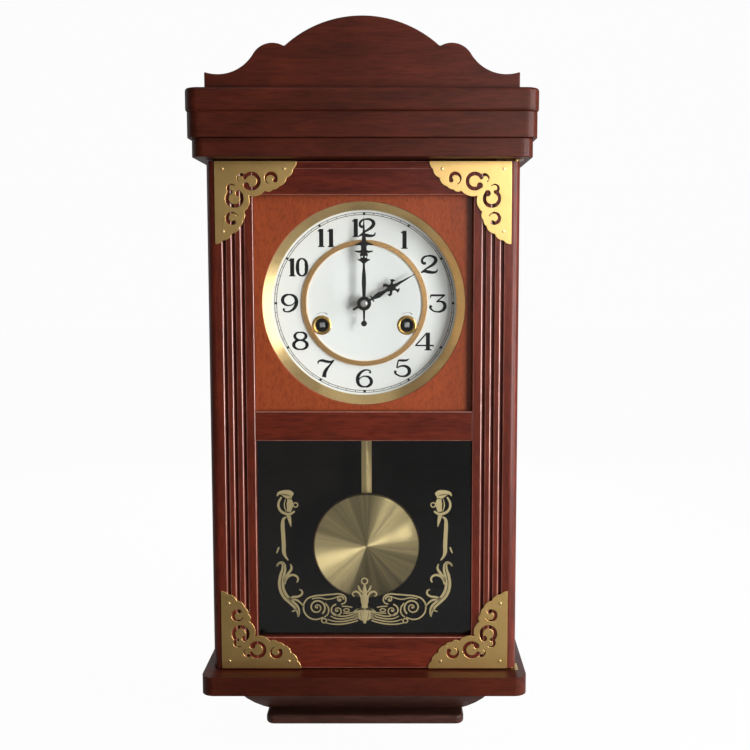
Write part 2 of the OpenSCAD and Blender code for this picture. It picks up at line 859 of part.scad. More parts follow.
// Two brass rings: the sloping one round the dial, and the raised one inside the hour numbers
module dial_rings() {
    slope_r = panel_hole_r + 2.4;
    slope_h = dial_glass_d - dial_front - 2;
    t = 0.8;
    color("#b8923f") hung() outward(dial_front, dial_z) {
        rotate_extrude($fn = 4 * smooth)
        polygon([[dial_r, 0], [dial_r + 2, 0], [slope_r + t, slope_h - t], [slope_r + t, slope_h],
                 [slope_r, slope_h], [dial_r, t]]);
        rotate_extrude($fn = 4 * smooth) intersection() {
            translate([ring_r - ring_w / 2, 0]) scale(ring_w / 2) circle(1, $fn = smooth);
            translate([ring_r - ring_w, 0]) square([ring_w, ring_h]);
        }
    }
}

module winding_grommets() {
    color("#b8923f") for (p = [time_p, strike_p]) {
        on_arbor(p, dial_d) rotate_extrude($fn = smooth)
        polygon([[grommet_hole_r, -1.5], [grommet_barrel_r, -1.5], [grommet_barrel_r, dial_t],
                 [grommet_r, dial_t], [grommet_r, dial_t + 0.5], [grommet_r - 1.2, dial_t + 1.1],
                 [grommet_hole_r, dial_t + 0.6]]);
    }
}

function arbor_holes() = [
    for (p = [inter_p, third_p, escape_p, strike_wheel_p, fly_p]) [p, pivot_r + pivot_gap]];

// One plate of the movement, with its bushes drilled at the arbors' places
module plate(holes) {
    r = 5;
    linear_extrude(plate_t) difference() {
        union() {
            translate([-plate_half_w, r - plate_down])
            square([2 * plate_half_w, plate_up + plate_down - 2 * r]);
            translate([r - plate_half_w, -plate_down])
            square([2 * plate_half_w - 2 * r, plate_up + plate_down]);
            for (sx = [-1, 1], z = [r - plate_down, plate_up - r]) {
                translate([sx * (plate_half_w - r), z]) circle(r, $fn = smooth);
            }
        }
        for (hole = holes) {
            translate(hole[0]) circle(hole[1], $fn = smooth);
        }
    }
}

module back_plate() {
    holes = concat(arbor_holes(), [[centre_p, pivot_r + pivot_gap], [pallet_p, arbor_r + pivot_gap],
        [hammer_p, arbor_r + pivot_gap], [time_p, winding_r + pivot_gap],
        [strike_p, winding_r + pivot_gap]], [for (p = pillar_places) [p, 2.5 + seat_gap]]);
    color("#c9a24d") on_arbor([0, 0], back_plate_d) plate(holes);
}

module front_plate() {
    holes = concat(arbor_holes(), [[centre_p, centre_arbor_r + pivot_gap],
        [pallet_p, pivot_r + pivot_gap], [hammer_p, pivot_r + pivot_gap],
        [time_p, winding_r + pivot_gap], [strike_p, winding_r + pivot_gap]],
        [for (p = pillar_places) [p, pillar_stud_r + seat_gap]]);
    color("#c9a24d") on_arbor([0, 0], front_plate_d) {
        plate(holes);
        for (stud = [[minute_p, 8.5], [time_click_p, 3], [strike_click_p, 3]]) {
            translate(stud[0]) translate([0, 0, plate_t - 0.5])
            cylinder(h = stud[1] + 0.5, r = stud_r, $fn = smooth);
        }
    }
}

// Pillars with their rear nuts, front spacers and front nuts, each a separate solid
module plate_pillars() {
    rear_nut_t = 2.4;
    front_nut_t = 1.5;
    color("#c9a24d") for (p = pillar_places) {
        on_arbor(p, back_plate_d) {
            translate([0, 0, -rear_nut_t]) cylinder(h = rear_nut_t + plate_t, r = 2.5, $fn = smooth);
            translate([0, 0, plate_t]) cylinder(h = plate_gap, r = pillar_r, $fn = smooth);
            translate([0, 0, plate_t + plate_gap])
            cylinder(h = dial_d - 0.4 - front_plate_d, r = pillar_stud_r, $fn = smooth);
        }
        on_arbor(p, back_plate_d - rear_nut_t) difference() {
            cylinder(h = rear_nut_t, r = 5, $fn = 6);
            translate([0, 0, -1]) cylinder(h = rear_nut_t + 2, r = 2.5 + seat_gap, $fn = smooth);
        }
        on_arbor(p, plate_front) difference() {
            cylinder(h = dial_board_d - plate_front, r = pillar_r, $fn = smooth);
            translate([0, 0, -1]) cylinder(h = 10, r = pillar_stud_r + seat_gap, $fn = smooth);
        }
        on_arbor(p, dial_d - 1.6) difference() {
            cylinder(h = front_nut_t, r = 4.6, $fn = 6);
            translate([0, 0, -1]) cylinder(h = 4, r = pillar_stud_r + seat_gap, $fn = smooth);
        }
    }
}

// Wheel or pinion outline: straight-sided teeth with running backlash
module gear_flat(m, teeth, tip, root, width) {
    r = m * teeth / 2;
    tip_r = r + tip * m;
    root_r = r - root * m;
    half = width * m * 90 / r;
    flank = [[root_r, 1.25], [r, 1], [tip_r, 0.5]];
    polygon([for (i = [0 : teeth - 1]) let (a = 360 * i / teeth) each [
        polar(flank[0][0], a - half * flank[0][1]), polar(flank[1][0], a - half * flank[1][1]),
        polar(flank[2][0], a - half * flank[2][1]), polar(flank[2][0], a + half * flank[2][1]),
        polar(flank[1][0], a + half * flank[1][1]), polar(flank[0][0], a + half * flank[0][1])]]);
}

module wheel_flat(m, teeth) {
    gear_flat(m, teeth, 0.95, 1.15, 0.4);
}

module pinion_flat(m, teeth) {
    gear_flat(m, teeth, 0.6, 1.3, 0.34);
}

// A wheel with a rim, spokes and a middle
module spoked_wheel(m, teeth, spokes, rim, hub_r) {
    inner = m * teeth / 2 - 1.15 * m - rim;
    difference() {
        wheel_flat(m, teeth);
        for (i = [0 : spokes - 1]) {
            rotate(360 * (i + 0.5) / spokes) intersection() {
                difference() {
                    circle(inner, $fn = smooth);
                    circle(hub_r, $fn = smooth);
                }
                polygon([[1.4, 0], polar(2 * inner, -180 / spokes + 4), polar(2 * inner, 180 / spokes - 4)]);
            }
        }
    }
}

// Plain arbor between the plates, with a thinner pivot in each
module pivoted_arbor(r, end_r) {
    cylinder(h = plate_t + 0.1, r = end_r, $fn = smooth);
    translate([0, 0, plate_t + 0.1]) cylinder(h = plate_gap - 0.2, r = r, $fn = smooth);
    translate([0, 0, plate_t + plate_gap - 0.1]) cylinder(h = plate_t + 0.1, r = end_r, $fn = smooth);
}

// Turns that bring each wheel into mesh at rest: a tooth of one lies in a space of the other
function angle_to(a, b) = atan2(b[1] - a[1], b[0] - a[0]);
function meshed(teeth, here, there, other_teeth, other_turn) =
    let (to = angle_to(here, there), back = angle_to(there, here))
    let (phase = (back - other_turn) * other_teeth / 360)
    to + (phase + 0.5) * 360 / teeth;

centre_turn = 0;
centre_pinion_turn = centre_turn;
inter_turn = meshed(inter_teeth, inter_p, centre_p, centre_pinion, centre_pinion_turn);
time_turn = meshed(barrel_teeth, time_p, inter_p, barrel_pinion, inter_turn);
third_turn = meshed(third_pinion, third_p, centre_p, centre_teeth, centre_turn);
escape_turn = meshed(escape_pinion, escape_p, third_p, third_teeth, third_turn);
minute_turn = meshed(minute_teeth, minute_p, centre_p, cannon_teeth, 0);
hour_turn = meshed(hour_teeth, centre_p, minute_p, minute_pinion, minute_turn);
strike_wheel_turn = meshed(barrel_pinion, strike_wheel_p, strike_p, barrel_teeth, 0);
fly_turn = meshed(fly_pinion, fly_p, strike_wheel_p, strike_teeth, strike_wheel_turn);

module centre_wheel() {
    color("#c9a24d") on_arbor(centre_p, back_plate_d) {
        cylinder(h = plate_t + 0.1, r = pivot_r, $fn = smooth);
        translate([0, 0, plate_t + 0.1])
        cylinder(h = minute_hand_d + hand_t + nut_t - back_plate_d - plate_t - 0.1,
                 r = centre_arbor_r, $fn = smooth);
        translate([0, 0, inter_wheel_d - back_plate_d - 1]) rotate(centre_pinion_turn)
        linear_extrude(inter_wheel_t + 2) pinion_flat(inter_m, centre_pinion);
        translate([0, 0, centre_wheel_d - back_plate_d]) rotate(centre_turn)
        linear_extrude(centre_wheel_t) spoked_wheel(centre_m, centre_teeth, 4, 2, 4);
    }
}

module intermediate_wheel() {
    color("#c9a24d") on_arbor(inter_p, back_plate_d) {
        pivoted_arbor(arbor_r, pivot_r);
        rotate(inter_turn) {
            translate([0, 0, inter_wheel_d - back_plate_d]) linear_extrude(inter_wheel_t)
            spoked_wheel(inter_m, inter_teeth, 4, 2, 4);
            translate([0, 0, barrel_d - back_plate_d - 0.6]) linear_extrude(barrel_gear_t + 1.2)
            pinion_flat(barrel_m, barrel_pinion);
        }
    }
}

module third_wheel() {
    color("#c9a24d") on_arbor(third_p, back_plate_d) {
        pivoted_arbor(arbor_r, pivot_r);
        rotate(third_turn) {
            translate([0, 0, third_wheel_d - back_plate_d]) linear_extrude(third_wheel_t)
            spoked_wheel(third_m, third_teeth, 4, 1.8, 3.4);
            translate([0, 0, centre_wheel_d - back_plate_d - 0.8])
            linear_extrude(centre_wheel_t + 1.4) pinion_flat(centre_m, third_pinion);
        }
    }
}

module escape_wheel() {
    tooth = 360 / escape_teeth;
    color("#c9a24d") on_arbor(escape_p, back_plate_d) rotate(escape_turn) {
        pivoted_arbor(0.9, pivot_r);
        translate([0, 0, third_wheel_d - back_plate_d - 1]) linear_extrude(third_wheel_t + 2)
        pinion_flat(third_m, escape_pinion);
        translate([0, 0, escape_wheel_d - back_plate_d]) linear_extrude(escape_wheel_t)
        difference() {
            polygon([for (i = [0 : escape_teeth - 1]) each [
                polar(escape_r - 1.3, tooth * i), polar(escape_r - 1.3, tooth * (i + 0.35)),
                polar(escape_r, tooth * (i + 0.95)), polar(escape_r, tooth * (i + 0.99))]]);
            for (i = [0 : 3]) {
                translate(polar(5.2, 90 * i)) circle(2.2, $fn = smooth);
            }
        }
    }
}

// Pallets that span part of the escape wheel, on the arbor that the crutch turns
pallet_clear = 0.8;
crutch_len = 45;
leader_r = 1.5;

module anchor() {
    span = acos(escape_r / norm(pallet_p - escape_p));
    tip_r = escape_r + pallet_clear;
    tip = escape_p - pallet_p;
    color("silver") on_arbor(pallet_p, back_plate_d - 3.7) {
        cylinder(h = plate_t + plate_gap + 3.6, r = arbor_r, $fn = smooth);
        translate([0, 0, plate_t + plate_gap + 3.6]) cylinder(h = plate_t + 0.1, r = pivot_r, $fn = smooth);
        translate([0, 0, escape_wheel_d - back_plate_d + 2.9]) linear_extrude(escape_wheel_t + 1.6)
        difference() {
            union() {
                circle(3, $fn = smooth);
                for (side = [-1, 1]) {
                    edge = tip + polar(tip_r, 90 + side * span);
                    out = tip + polar(tip_r + 3, 90 + side * (span + 2));
                    polygon([[0, 2.6], [-side * 1.6, -1.6], edge, out]);
                }
            }
            translate(tip) circle(tip_r, $fn = smooth);
        }
        translate([0, 0, 0.7]) linear_extrude(1.2) union() {
            circle(3, $fn = smooth);
            translate([-1.5, -crutch_len]) square([3, crutch_len]);
            translate([-4.5, -crutch_len - 2]) square([9, 3]);
        }
    }
    color("silver") for (side = [-1, 1]) {
        on_arbor(pallet_p, pendulum_d - 2.5)
        translate([side * (leader_r + 0.3 + 1), -crutch_len - 0.5, 0]) translate([-1, -1.5, 0])
        cube([2, 3, back_plate_d - pendulum_d + 0.6]);
    }
}

// Barrel: toothed drum, cover and coiled mainspring as three solids
module barrel(p, turn) {
    color("#c9a24d") on_arbor(p, barrel_d) {
        difference() {
            union() {
                rotate(turn) linear_extrude(barrel_gear_t) wheel_flat(barrel_m, barrel_teeth);
                cylinder(h = drum_front - barrel_d, r = drum_r, $fn = 2 * smooth);
            }
            translate([0, 0, drum_floor])
            cylinder(h = drum_front, r = drum_r - 1.2, $fn = 2 * smooth);
            translate([0, 0, -1]) cylinder(h = 4, r = winding_r + pivot_gap, $fn = smooth);
        }
        translate([0, 0, drum_front - barrel_d]) difference() {
            cylinder(h = cover_t, r = drum_r, $fn = 2 * smooth);
            translate([0, 0, -1]) cylinder(h = 4, r = winding_r + pivot_gap, $fn = smooth);
        }
    }
    color("dimgray") on_arbor(p, barrel_d + drum_floor + 0.1) difference() {
        cylinder(h = drum_front - barrel_d - drum_floor - 0.2, r = spring_r, $fn = 2 * smooth);
        translate([0, 0, -1]) cylinder(h = drum_front, r = 14, $fn = smooth);
    }
}

module time_barrel() {
    barrel(time_p, time_turn);
}

module strike_barrel() {
    barrel(strike_p, 0);
}

module ratchet_flat(side) {
    tooth = 360 / ratchet_teeth;
    mirror([side < 0 ? 1 : 0, 0])
    polygon([for (i = [0 : ratchet_teeth - 1]) each [
        polar(ratchet_r - 1.6, tooth * i), polar(ratchet_r, tooth * (i + 0.9))]]);
}

// Winding arbor: pivot, spring core, ratchet wheel and winding square
module winding_arbor(p, side) {
    core = barrel_d + drum_floor + 0.1;
    color("silver") on_arbor(p, back_plate_d) {
        cylinder(h = ratchet_d + ratchet_t - back_plate_d, r = winding_r, $fn = smooth);
        translate([0, 0, core - back_plate_d])
        cylinder(h = drum_front - core - 0.1, r = 6, $fn = smooth);
        translate([0, 0, ratchet_d - back_plate_d]) linear_extrude(ratchet_t) ratchet_flat(side);
        translate([-square_w / 2, -square_w / 2, ratchet_d - back_plate_d])
        cube([square_w, square_w, dial_front - 1.5 - ratchet_d]);
    }
}

module time_winding_arbor() {
    winding_arbor(time_p, 1);
}

module strike_winding_arbor() {
    winding_arbor(strike_p, -1);
}

// A click on its stud, with its nose just clear of the ratchet's tips
module click(p, centre, side) {
    away = norm(p - centre);
    color("silver") on_arbor(p, ratchet_d) rotate(angle_to(p, centre))
    mirror([0, side < 0 ? 1 : 0, 0]) linear_extrude(ratchet_t) difference() {
        union() {
            circle(3.2, $fn = smooth);
            polygon([[-1, 2.9], [2, -2], [away - ratchet_r + 1.5, 5]]);
        }
        circle(stud_r + pivot_gap, $fn = smooth);
        translate([away, 0]) circle(ratchet_r + 0.4, $fn = smooth);
    }
}

module time_click() {
    click(time_click_p, time_p, 1);
}

module strike_click() {
    click(strike_click_p, strike_p, -1);
}

strike_pins = 8;
strike_pin_circle = 11.5;
strike_pin_r = 0.6;

module strike_wheel() {
    color("#c9a24d") on_arbor(strike_wheel_p, back_plate_d) {
        pivoted_arbor(arbor_r, pivot_r);
        rotate(strike_wheel_turn) {
            translate([0, 0, barrel_d - back_plate_d - 0.6]) linear_extrude(barrel_gear_t + 1.2)
            pinion_flat(barrel_m, barrel_pinion);
            translate([0, 0, strike_wheel_d - back_plate_d]) {
                linear_extrude(strike_wheel_t) wheel_flat(strike_m, strike_teeth);
                for (i = [0 : strike_pins - 1]) {
                    translate(polar(strike_pin_circle, 360 * i / strike_pins))
                    cylinder(h = strike_wheel_t + 2, r = strike_pin_r, $fn = smooth);
                }
            }
        }
    }
}

module strike_fly() {
    vane_half = 11;
    vane_h = 10;
    color("#c9a24d") on_arbor(fly_p, back_plate_d) rotate(fly_turn) {
        pivoted_arbor(arbor_r, pivot_r);
        translate([0, 0, strike_wheel_d - back_plate_d - 0.8]) linear_extrude(strike_wheel_t + 1.6)
        pinion_flat(strike_m, fly_pinion);
        translate([-vane_half, -0.4, fly_d - back_plate_d]) cube([2 * vane_half, 0.8, vane_h]);
    }
}

// Hammer: arbor, lifting arm over the pins, bent stem behind the back plate and brass head
module hammer() {
    head_x = gong_rod_r + 1;
    head_len = 12;
    head_z = -40;
    head_mid = -gong_x - head_x - head_len / 2 - hammer_p[0];
    pins = strike_wheel_p - hammer_p;
    arm = pins * (1 - (strike_pin_circle + strike_pin_r + 0.5) / norm(pins));
    color("#c9a24d") {
        on_arbor(hammer_p, hammer_stem_d - 1) {
            cylinder(h = front_plate_d - 0.1 - hammer_stem_d + 1, r = arbor_r, $fn = smooth);
            translate([0, 0, front_plate_d - 0.1 - hammer_stem_d + 1])
            cylinder(h = plate_t + 0.1, r = pivot_r, $fn = smooth);
            translate([0, 0, strike_wheel_d + strike_wheel_t + 0.4 - hammer_stem_d + 1])
            linear_extrude(1.2) difference() {
                union() {
                    circle(2.4, $fn = smooth);
                    rotate(atan2(arm[1], arm[0])) translate([0, -1]) square([norm(arm), 2]);
                }
                translate(pins) circle(strike_pin_circle + strike_pin_r + 0.4, $fn = smooth);
            }
            linear_extrude(2) union() {
                circle(2.6, $fn = smooth);
                polygon([[-2, 1], [2, -1], [head_mid + 1, head_z + 4], [head_mid - 1, head_z + 4]]);
                translate([head_mid - 1, head_z]) square([2, 5]);
            }
        }
        on_arbor(hammer_p, hammer_stem_d) translate([head_mid - head_len / 2, head_z, 0])
        rotate([0, 90, 0]) cylinder(h = head_len, r = hammer_r, $fn = smooth);
    }
}

gong_depths = [hammer_stem_d - 4, hammer_stem_d + 4];
gong_block_h = 20;

module gong_block() {
    color("dimgray") hung() difference() {
        block(-gong_x - 12, -gong_x + 12, back_t, hammer_stem_d + 9, gong_z, gong_z + gong_block_h);
        screw_set(seat_gap);
        for (d = gong_depths) {
            translate([-gong_x, -d, gong_z - 1])
            cylinder(h = gong_seat + 1, r = gong_rod_r + seat_gap, $fn = smooth);
        }
    }
}

module gong_rods() {
    color("#c9a24d") hung() for (d = gong_depths) {
        translate([-gong_x, -d, gong_z - gong_rod_len])
        cylinder(h = gong_rod_len + gong_seat, r = gong_rod_r, $fn = smooth);
    }
}

module minute_wheel() {
    color("#c9a24d") on_arbor(minute_p, minute_wheel_d) rotate(minute_turn) difference() {
        union() {
            linear_extrude(minute_wheel_t) wheel_flat(minute_m, minute_teeth);
            linear_extrude(hour_wheel_d + hour_wheel_t + 0.5 - minute_wheel_d)
            pinion_flat(hour_m, minute_pinion);
        }
        translate([0, 0, -1]) cylinder(h = 12, r = stud_r + pivot_gap, $fn = smooth);
    }
}

module cannon_pinion() {
    color("silver") on_arbor(centre_p, plate_front + 0.3) difference() {
        union() {
            cylinder(h = minute_hand_d + hand_t - plate_front - 0.3, r = cannon_r - 0.3, $fn = smooth);
            translate([0, 0, 1]) linear_extrude(minute_wheel_t + 1.2)
            pinion_flat(minute_m, cannon_teeth);
        }
        translate([0, 0, -1]) cylinder(h = 40, r = centre_arbor_r + seat_gap, $fn = smooth);
    }
}

module hour_wheel() {
    color("#c9a24d") on_arbor(centre_p, hour_wheel_d) difference() {
        union() {
            rotate(hour_turn) linear_extrude(hour_wheel_t) wheel_flat(hour_m, hour_teeth);
            cylinder(h = hour_hand_d + hand_t - hour_wheel_d, r = hour_pipe_r, $fn = smooth);
        }
        translate([0, 0, -1]) cylinder(h = 40, r = cannon_r - 0.3 + pivot_gap, $fn = smooth);
    }
}

// Both sides of a hand from the outline of one side, given along and across the hand
module hand_blade(side) {
    polygon(concat([for (p = side) [p[0], -p[1]]], [for (i = [len(side) - 1 : -1 : 0]) side[i]]));
}

// Hand outline along X: hub, leaf, barbed ornament, tapering point and tail
module minute_hand_flat() {
    difference() {
        union() {
            circle(hand_hub_r, $fn = smooth);
            hand_blade([[5, 1.4], [12, 1.8], [19, 2.1], [27, 1.8], [33, 1.1], [37, 1.1], [38.8, 3],
                        [40.2, 5.9], [41, 5.7], [41.2, 3.4], [43, 3], [45, 3.9], [46.3, 3.4],
                        [46.6, 2.4], [46.9, 5], [48, 8.6], [49, 8.5], [48.9, 4.2], [49.6, 2.6],
                        [53.2, 2.6], [53.9, 4.2], [53.7, 8.6], [54.5, 8.5], [56, 5.4], [57.4, 2.2],
                        [61, 1.8], [66, 1.1], [minute_hand_len, 0.25]]);
            hand_blade([[-18, 0.7], [-5, 1.3]]);
            translate([-18.6, 0]) circle(2.75, $fn = smooth);
        }
        circle(cannon_r - 0.3 + seat_gap, $fn = smooth);
        for (side = [-1, 1]) {
            translate([43.2, side * 1.7]) circle(0.8, $fn = smooth);
        }
    }
}

module hour_hand_flat() {
    difference() {
        union() {
            circle(hand_hub_r, $fn = smooth);
            hand_blade([[5, 1.2], [8, 1], [8.1, 3], [9.2, 3.5], [9.7, 1.4], [12, 2], [15.7, 2.7],
                        [20, 1.9], [23.5, 1.2], [26.4, 2.2], [25.2, 3.9], [22.6, 3.9],
                        [24.4, 6.6], [27, 5.8], [28.6, 3.4], [30.2, 3.3], [32, 5.4],
                        [31.6, 7.2], [34.2, 6.4], [36.2, 3.9], [33.6, 4.1], [32.4, 2.3],
                        [34.4, 1.6], [40, 1.1], [hour_hand_len, 0.25]]);
            hand_blade([[-11, 0.8], [-5, 1.3]]);
            translate([-11, 0]) circle(1.2, $fn = smooth);
        }
        circle(hour_pipe_r + seat_gap, $fn = smooth);
    }
}

module minute_hand() {
    color("#101010") on_arbor(centre_p, minute_hand_d) linear_extrude(hand_t)
    rotate(90) minute_hand_flat();
}

module hour_hand() {
    color("#101010") on_arbor(centre_p, hour_hand_d) linear_extrude(hand_t)
    rotate(90 - 30 * hour_shown) hour_hand_flat();
}

module hand_nut() {
    color("silver") on_arbor(centre_p, minute_hand_d + hand_t) difference() {
        rotate_extrude($fn = smooth)
        polygon([[0, 0], [3.4, 0], [3.4, 0.8], [2.8, 1.5], [2, nut_t], [0, nut_t]]);
        translate([0, 0, -1]) cylinder(h = nut_t + 2, r = centre_arbor_r + seat_gap, $fn = smooth);
    }
}

cock_slot = 1.8;
cock_low = 4;
cock_high = 16;
spring_t = 0.2;

// Bracket on the back plate whose slot holds the suspension spring
module suspension_cock() {
    color("#c9a24d") on_arbor(pallet_p, pendulum_d - 4) difference() {
        translate([-8, cock_low, 0]) cube([16, cock_high - cock_low, back_plate_d - pendulum_d + 4]);
        translate([-cock_slot / 2, cock_low - 1, -1]) cube([cock_slot, 7, 7.5]);
    }
}

module suspension_spring() {
    color("silver") on_arbor(pallet_p, pendulum_d - 2) translate([-spring_t / 2, -9, 0])
    cube([spring_t, 17, 4]);
}

// Round upper rod that the crutch drives, running into the flat rod that shows in the window
module pendulum_rod() {
    flat_top = 75;
    color("#b8923f") difference() {
        on_arbor(pallet_p, pendulum_d) {
            translate([0, -flat_top - 1, 0]) rotate([-90, 0, 0])
            cylinder(h = flat_top - 6, r = leader_r, $fn = smooth);
            translate([-rod_w / 2, -bob_drop - strap_bottom + 2, -rod_t / 2])
            cube([rod_w, bob_drop + strap_bottom - 2 - flat_top, rod_t]);
            translate([0, -bob_drop - strap_bottom - 7, 0]) rotate([-90, 0, 0])
            cylinder(h = 12, r = leader_r, $fn = smooth);
        }
        on_arbor(pallet_p, pendulum_d - 3) translate([-spring_t / 2 - seat_gap, -9 - seat_gap, 0])
        cube([spring_t + 2 * seat_gap, 17, 6]);
    }
}

// Bob: brass-faced disc, with a strap behind that the rod slides through
module pendulum_bob() {
    bob_d = pendulum_d + rod_t / 2 + 0.1;
    rim = 1.6;
    slot_w = 2 * leader_r + 0.4;
    color("#c9a24d") on_arbor(pallet_p - [0, bob_drop], bob_d) {
        difference() {
            rotate_extrude($fn = 4 * smooth)
            polygon([[0, 0], [bob_r - 1, 0], [bob_r, 1], [bob_r, bob_t - rim], [bob_r - rim, bob_t],
                     [0, bob_t]]);
            translate([-leader_r - 0.2, -strap_bottom - 9, -1]) cube([slot_w, 16, 1 + leader_r]);
            translate([-6, -strap_bottom - 7, -1]) cube([12, 7, 6]);
        }
        difference() {
            translate([-rod_w / 2 - 3, -strap_bottom, -rod_t - 2]) cube([rod_w + 6, 10, rod_t + 2.5]);
            translate([-rod_w / 2 - 0.1, -strap_bottom - 1, -rod_t - 0.2])
            cube([rod_w + 0.2, 12, rod_t + 0.2]);
            translate([-slot_w / 2, -strap_bottom - 1, -slot_w / 2 - rod_t / 2 - 0.1])
            cube([slot_w, 8, slot_w]);
        }
    }
}

module rating_nut() {
    color("goldenrod") on_arbor(pallet_p - [0, bob_drop + strap_bottom], pendulum_d)
    translate([0, -rating_nut_t, 0]) rotate([-90, 0, 0]) difference() {
        cylinder(h = rating_nut_t, r = rating_nut_r, $fn = smooth);
        translate([0, 0, -1]) cylinder(h = rating_nut_t + 2, r = leader_r + seat_gap, $fn = smooth);
    }
}

back_board();
side_panels();
base_board();
under_moulding();
plinth_board();
cornice_lower_board();
cornice_middle_board();
cornice_top_board();
pediment();
hanger_plate();
case_screws();
dial_board();
dial_plate();
dial_rings();
winding_grommets();
front_plate();
back_plate();
plate_pillars();
suspension_cock();
gong_block();
gong_rods();
hinge_plates();
catch_magnet();
door_left_stile();
door_right_stile();
door_top_rail();
door_middle_rail();
door_bottom_rail();
dial_surround_panel();
dial_glass();
pendulum_glass();
glass_beads();
corner_brackets();
bracket_pins();
hinge_pins();
catch_plate();
minute_hand();
hand_nut();
cannon_pinion();
centre_wheel();
minute_wheel();
hour_wheel();
hour_hand();
intermediate_wheel();
third_wheel();
escape_wheel();
anchor();
time_barrel();
time_winding_arbor();
time_click();
strike_barrel();
strike_winding_arbor();
strike_click();
strike_wheel();
strike_fly();
hammer();
suspension_spring();
pendulum_rod();
pendulum_bob();
rating_nut();
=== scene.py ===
import bpy
import json
import math
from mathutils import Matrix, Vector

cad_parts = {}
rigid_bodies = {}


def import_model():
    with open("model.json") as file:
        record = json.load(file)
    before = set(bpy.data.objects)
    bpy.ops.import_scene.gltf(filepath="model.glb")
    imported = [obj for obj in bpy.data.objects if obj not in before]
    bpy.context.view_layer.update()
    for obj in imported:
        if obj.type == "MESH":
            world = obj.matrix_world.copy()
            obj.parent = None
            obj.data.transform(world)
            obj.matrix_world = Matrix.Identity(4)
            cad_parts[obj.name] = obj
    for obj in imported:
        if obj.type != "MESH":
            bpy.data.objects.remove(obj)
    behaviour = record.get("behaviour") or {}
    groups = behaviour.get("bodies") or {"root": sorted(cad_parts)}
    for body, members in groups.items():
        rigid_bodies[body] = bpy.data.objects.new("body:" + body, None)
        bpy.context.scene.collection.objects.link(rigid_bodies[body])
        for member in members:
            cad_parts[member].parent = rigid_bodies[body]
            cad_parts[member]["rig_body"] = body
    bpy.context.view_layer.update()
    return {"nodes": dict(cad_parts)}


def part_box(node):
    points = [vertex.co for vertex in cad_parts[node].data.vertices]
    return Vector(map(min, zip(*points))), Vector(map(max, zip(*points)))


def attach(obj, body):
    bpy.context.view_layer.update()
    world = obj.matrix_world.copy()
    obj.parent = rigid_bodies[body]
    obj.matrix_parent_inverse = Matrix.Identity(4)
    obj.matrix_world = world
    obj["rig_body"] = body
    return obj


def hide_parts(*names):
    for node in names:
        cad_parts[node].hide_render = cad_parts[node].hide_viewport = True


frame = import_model()

# Case boards: three cornice boards, the arched pediment, the base board and the two under it, which
# are coloured greyer and lighter than the rest: a painted reflection of the floor below. Solid
# hardwood stained dark red-brown and lacquered; their edges are rounded over on a router and they
# are glued and dowelled to the case.
EDGE_ROUND = 0.0026
ARRIS_ROUND = 0.0008
CASE_DARK = (0.026, 0.0044, 0.0024, 1)
CASE_LIGHT = (0.100, 0.0160, 0.0056, 1)
ALONG_WIDTH = (0.13, 1.0, 1.0)
ALONG_HEIGHT = (1.0, 1.0, 0.13)


def pick(piece):
    bpy.ops.object.select_all(action="DESELECT")
    piece.select_set(True)
    bpy.context.view_layer.objects.active = piece


def edit_edges(piece, chosen):
    """Go into edit mode with only those edges selected whose two ends chosen accepts."""
    bpy.ops.object.mode_set(mode="EDIT")
    bpy.ops.mesh.select_mode(type="EDGE")
    bpy.ops.mesh.select_all(action="DESELECT")
    bpy.ops.object.mode_set(mode="OBJECT")
    for edge in piece.data.edges:
        edge.select = chosen(*(piece.data.vertices[v].co for v in edge.vertices))
    bpy.ops.object.mode_set(mode="EDIT")


def eased(node, edge, material, rounds=3, sharp=32, painted_highlight=None, arris=None,
          clamp=True):
    """A copy of a CAD piece with its sharp edges eased, which is shown in its place. The edges that
    arris picks are rounded further, and the painted highlight material goes on these: a lighter
    lacquer that stands for the light they catch."""
    cad = frame["nodes"][node]
    piece = bpy.data.objects.new(node + "_eased", cad.data.copy())
    bpy.context.scene.collection.objects.link(piece)
    pick(piece)
    bpy.ops.mesh.customdata_custom_splitnormals_clear()
    bpy.ops.object.mode_set(mode="EDIT")
    bpy.ops.mesh.select_all(action="SELECT")
    bpy.ops.mesh.remove_doubles(threshold=0.00001)
    bpy.ops.mesh.dissolve_limited(angle_limit=math.radians(1))
    bpy.ops.object.mode_set(mode="OBJECT")
    piece.data.materials.clear()
    piece.data.materials.append(material)
    if painted_highlight:
        piece.data.materials.append(painted_highlight)
    if arris:
        edit_edges(piece, arris)
        bpy.ops.mesh.bevel(offset=ARRIS_ROUND, segments=4, material=1, clamp_overlap=False)
        bpy.ops.object.mode_set(mode="OBJECT")
    bevel = piece.modifiers.new("edges", "BEVEL")
    bevel.width = edge
    bevel.segments = rounds
    bevel.use_clamp_overlap = clamp
    bevel.limit_method = "ANGLE"
    bevel.angle_limit = math.radians(sharp)
    bpy.ops.object.modifier_apply(modifier="edges")
    bpy.ops.object.shade_smooth_by_angle(angle=math.radians(40))
    flats = piece.modifiers.new("flats", "WEIGHTED_NORMAL")
    flats.keep_sharp = True
    bpy.ops.object.modifier_apply(modifier="flats")
    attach(piece, cad["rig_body"])
    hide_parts(node)
    return piece


def add(nodes, kind, values=None, **settings):
    """A shader node with its settings made and its inputs filled, by name or by number."""
    node = nodes.new("ShaderNode" + kind)
    for setting, value in settings.items():
        setattr(node, setting, value)
    for socket, value in (values or {}).items():
        node.inputs[socket].default_value = value
    return node


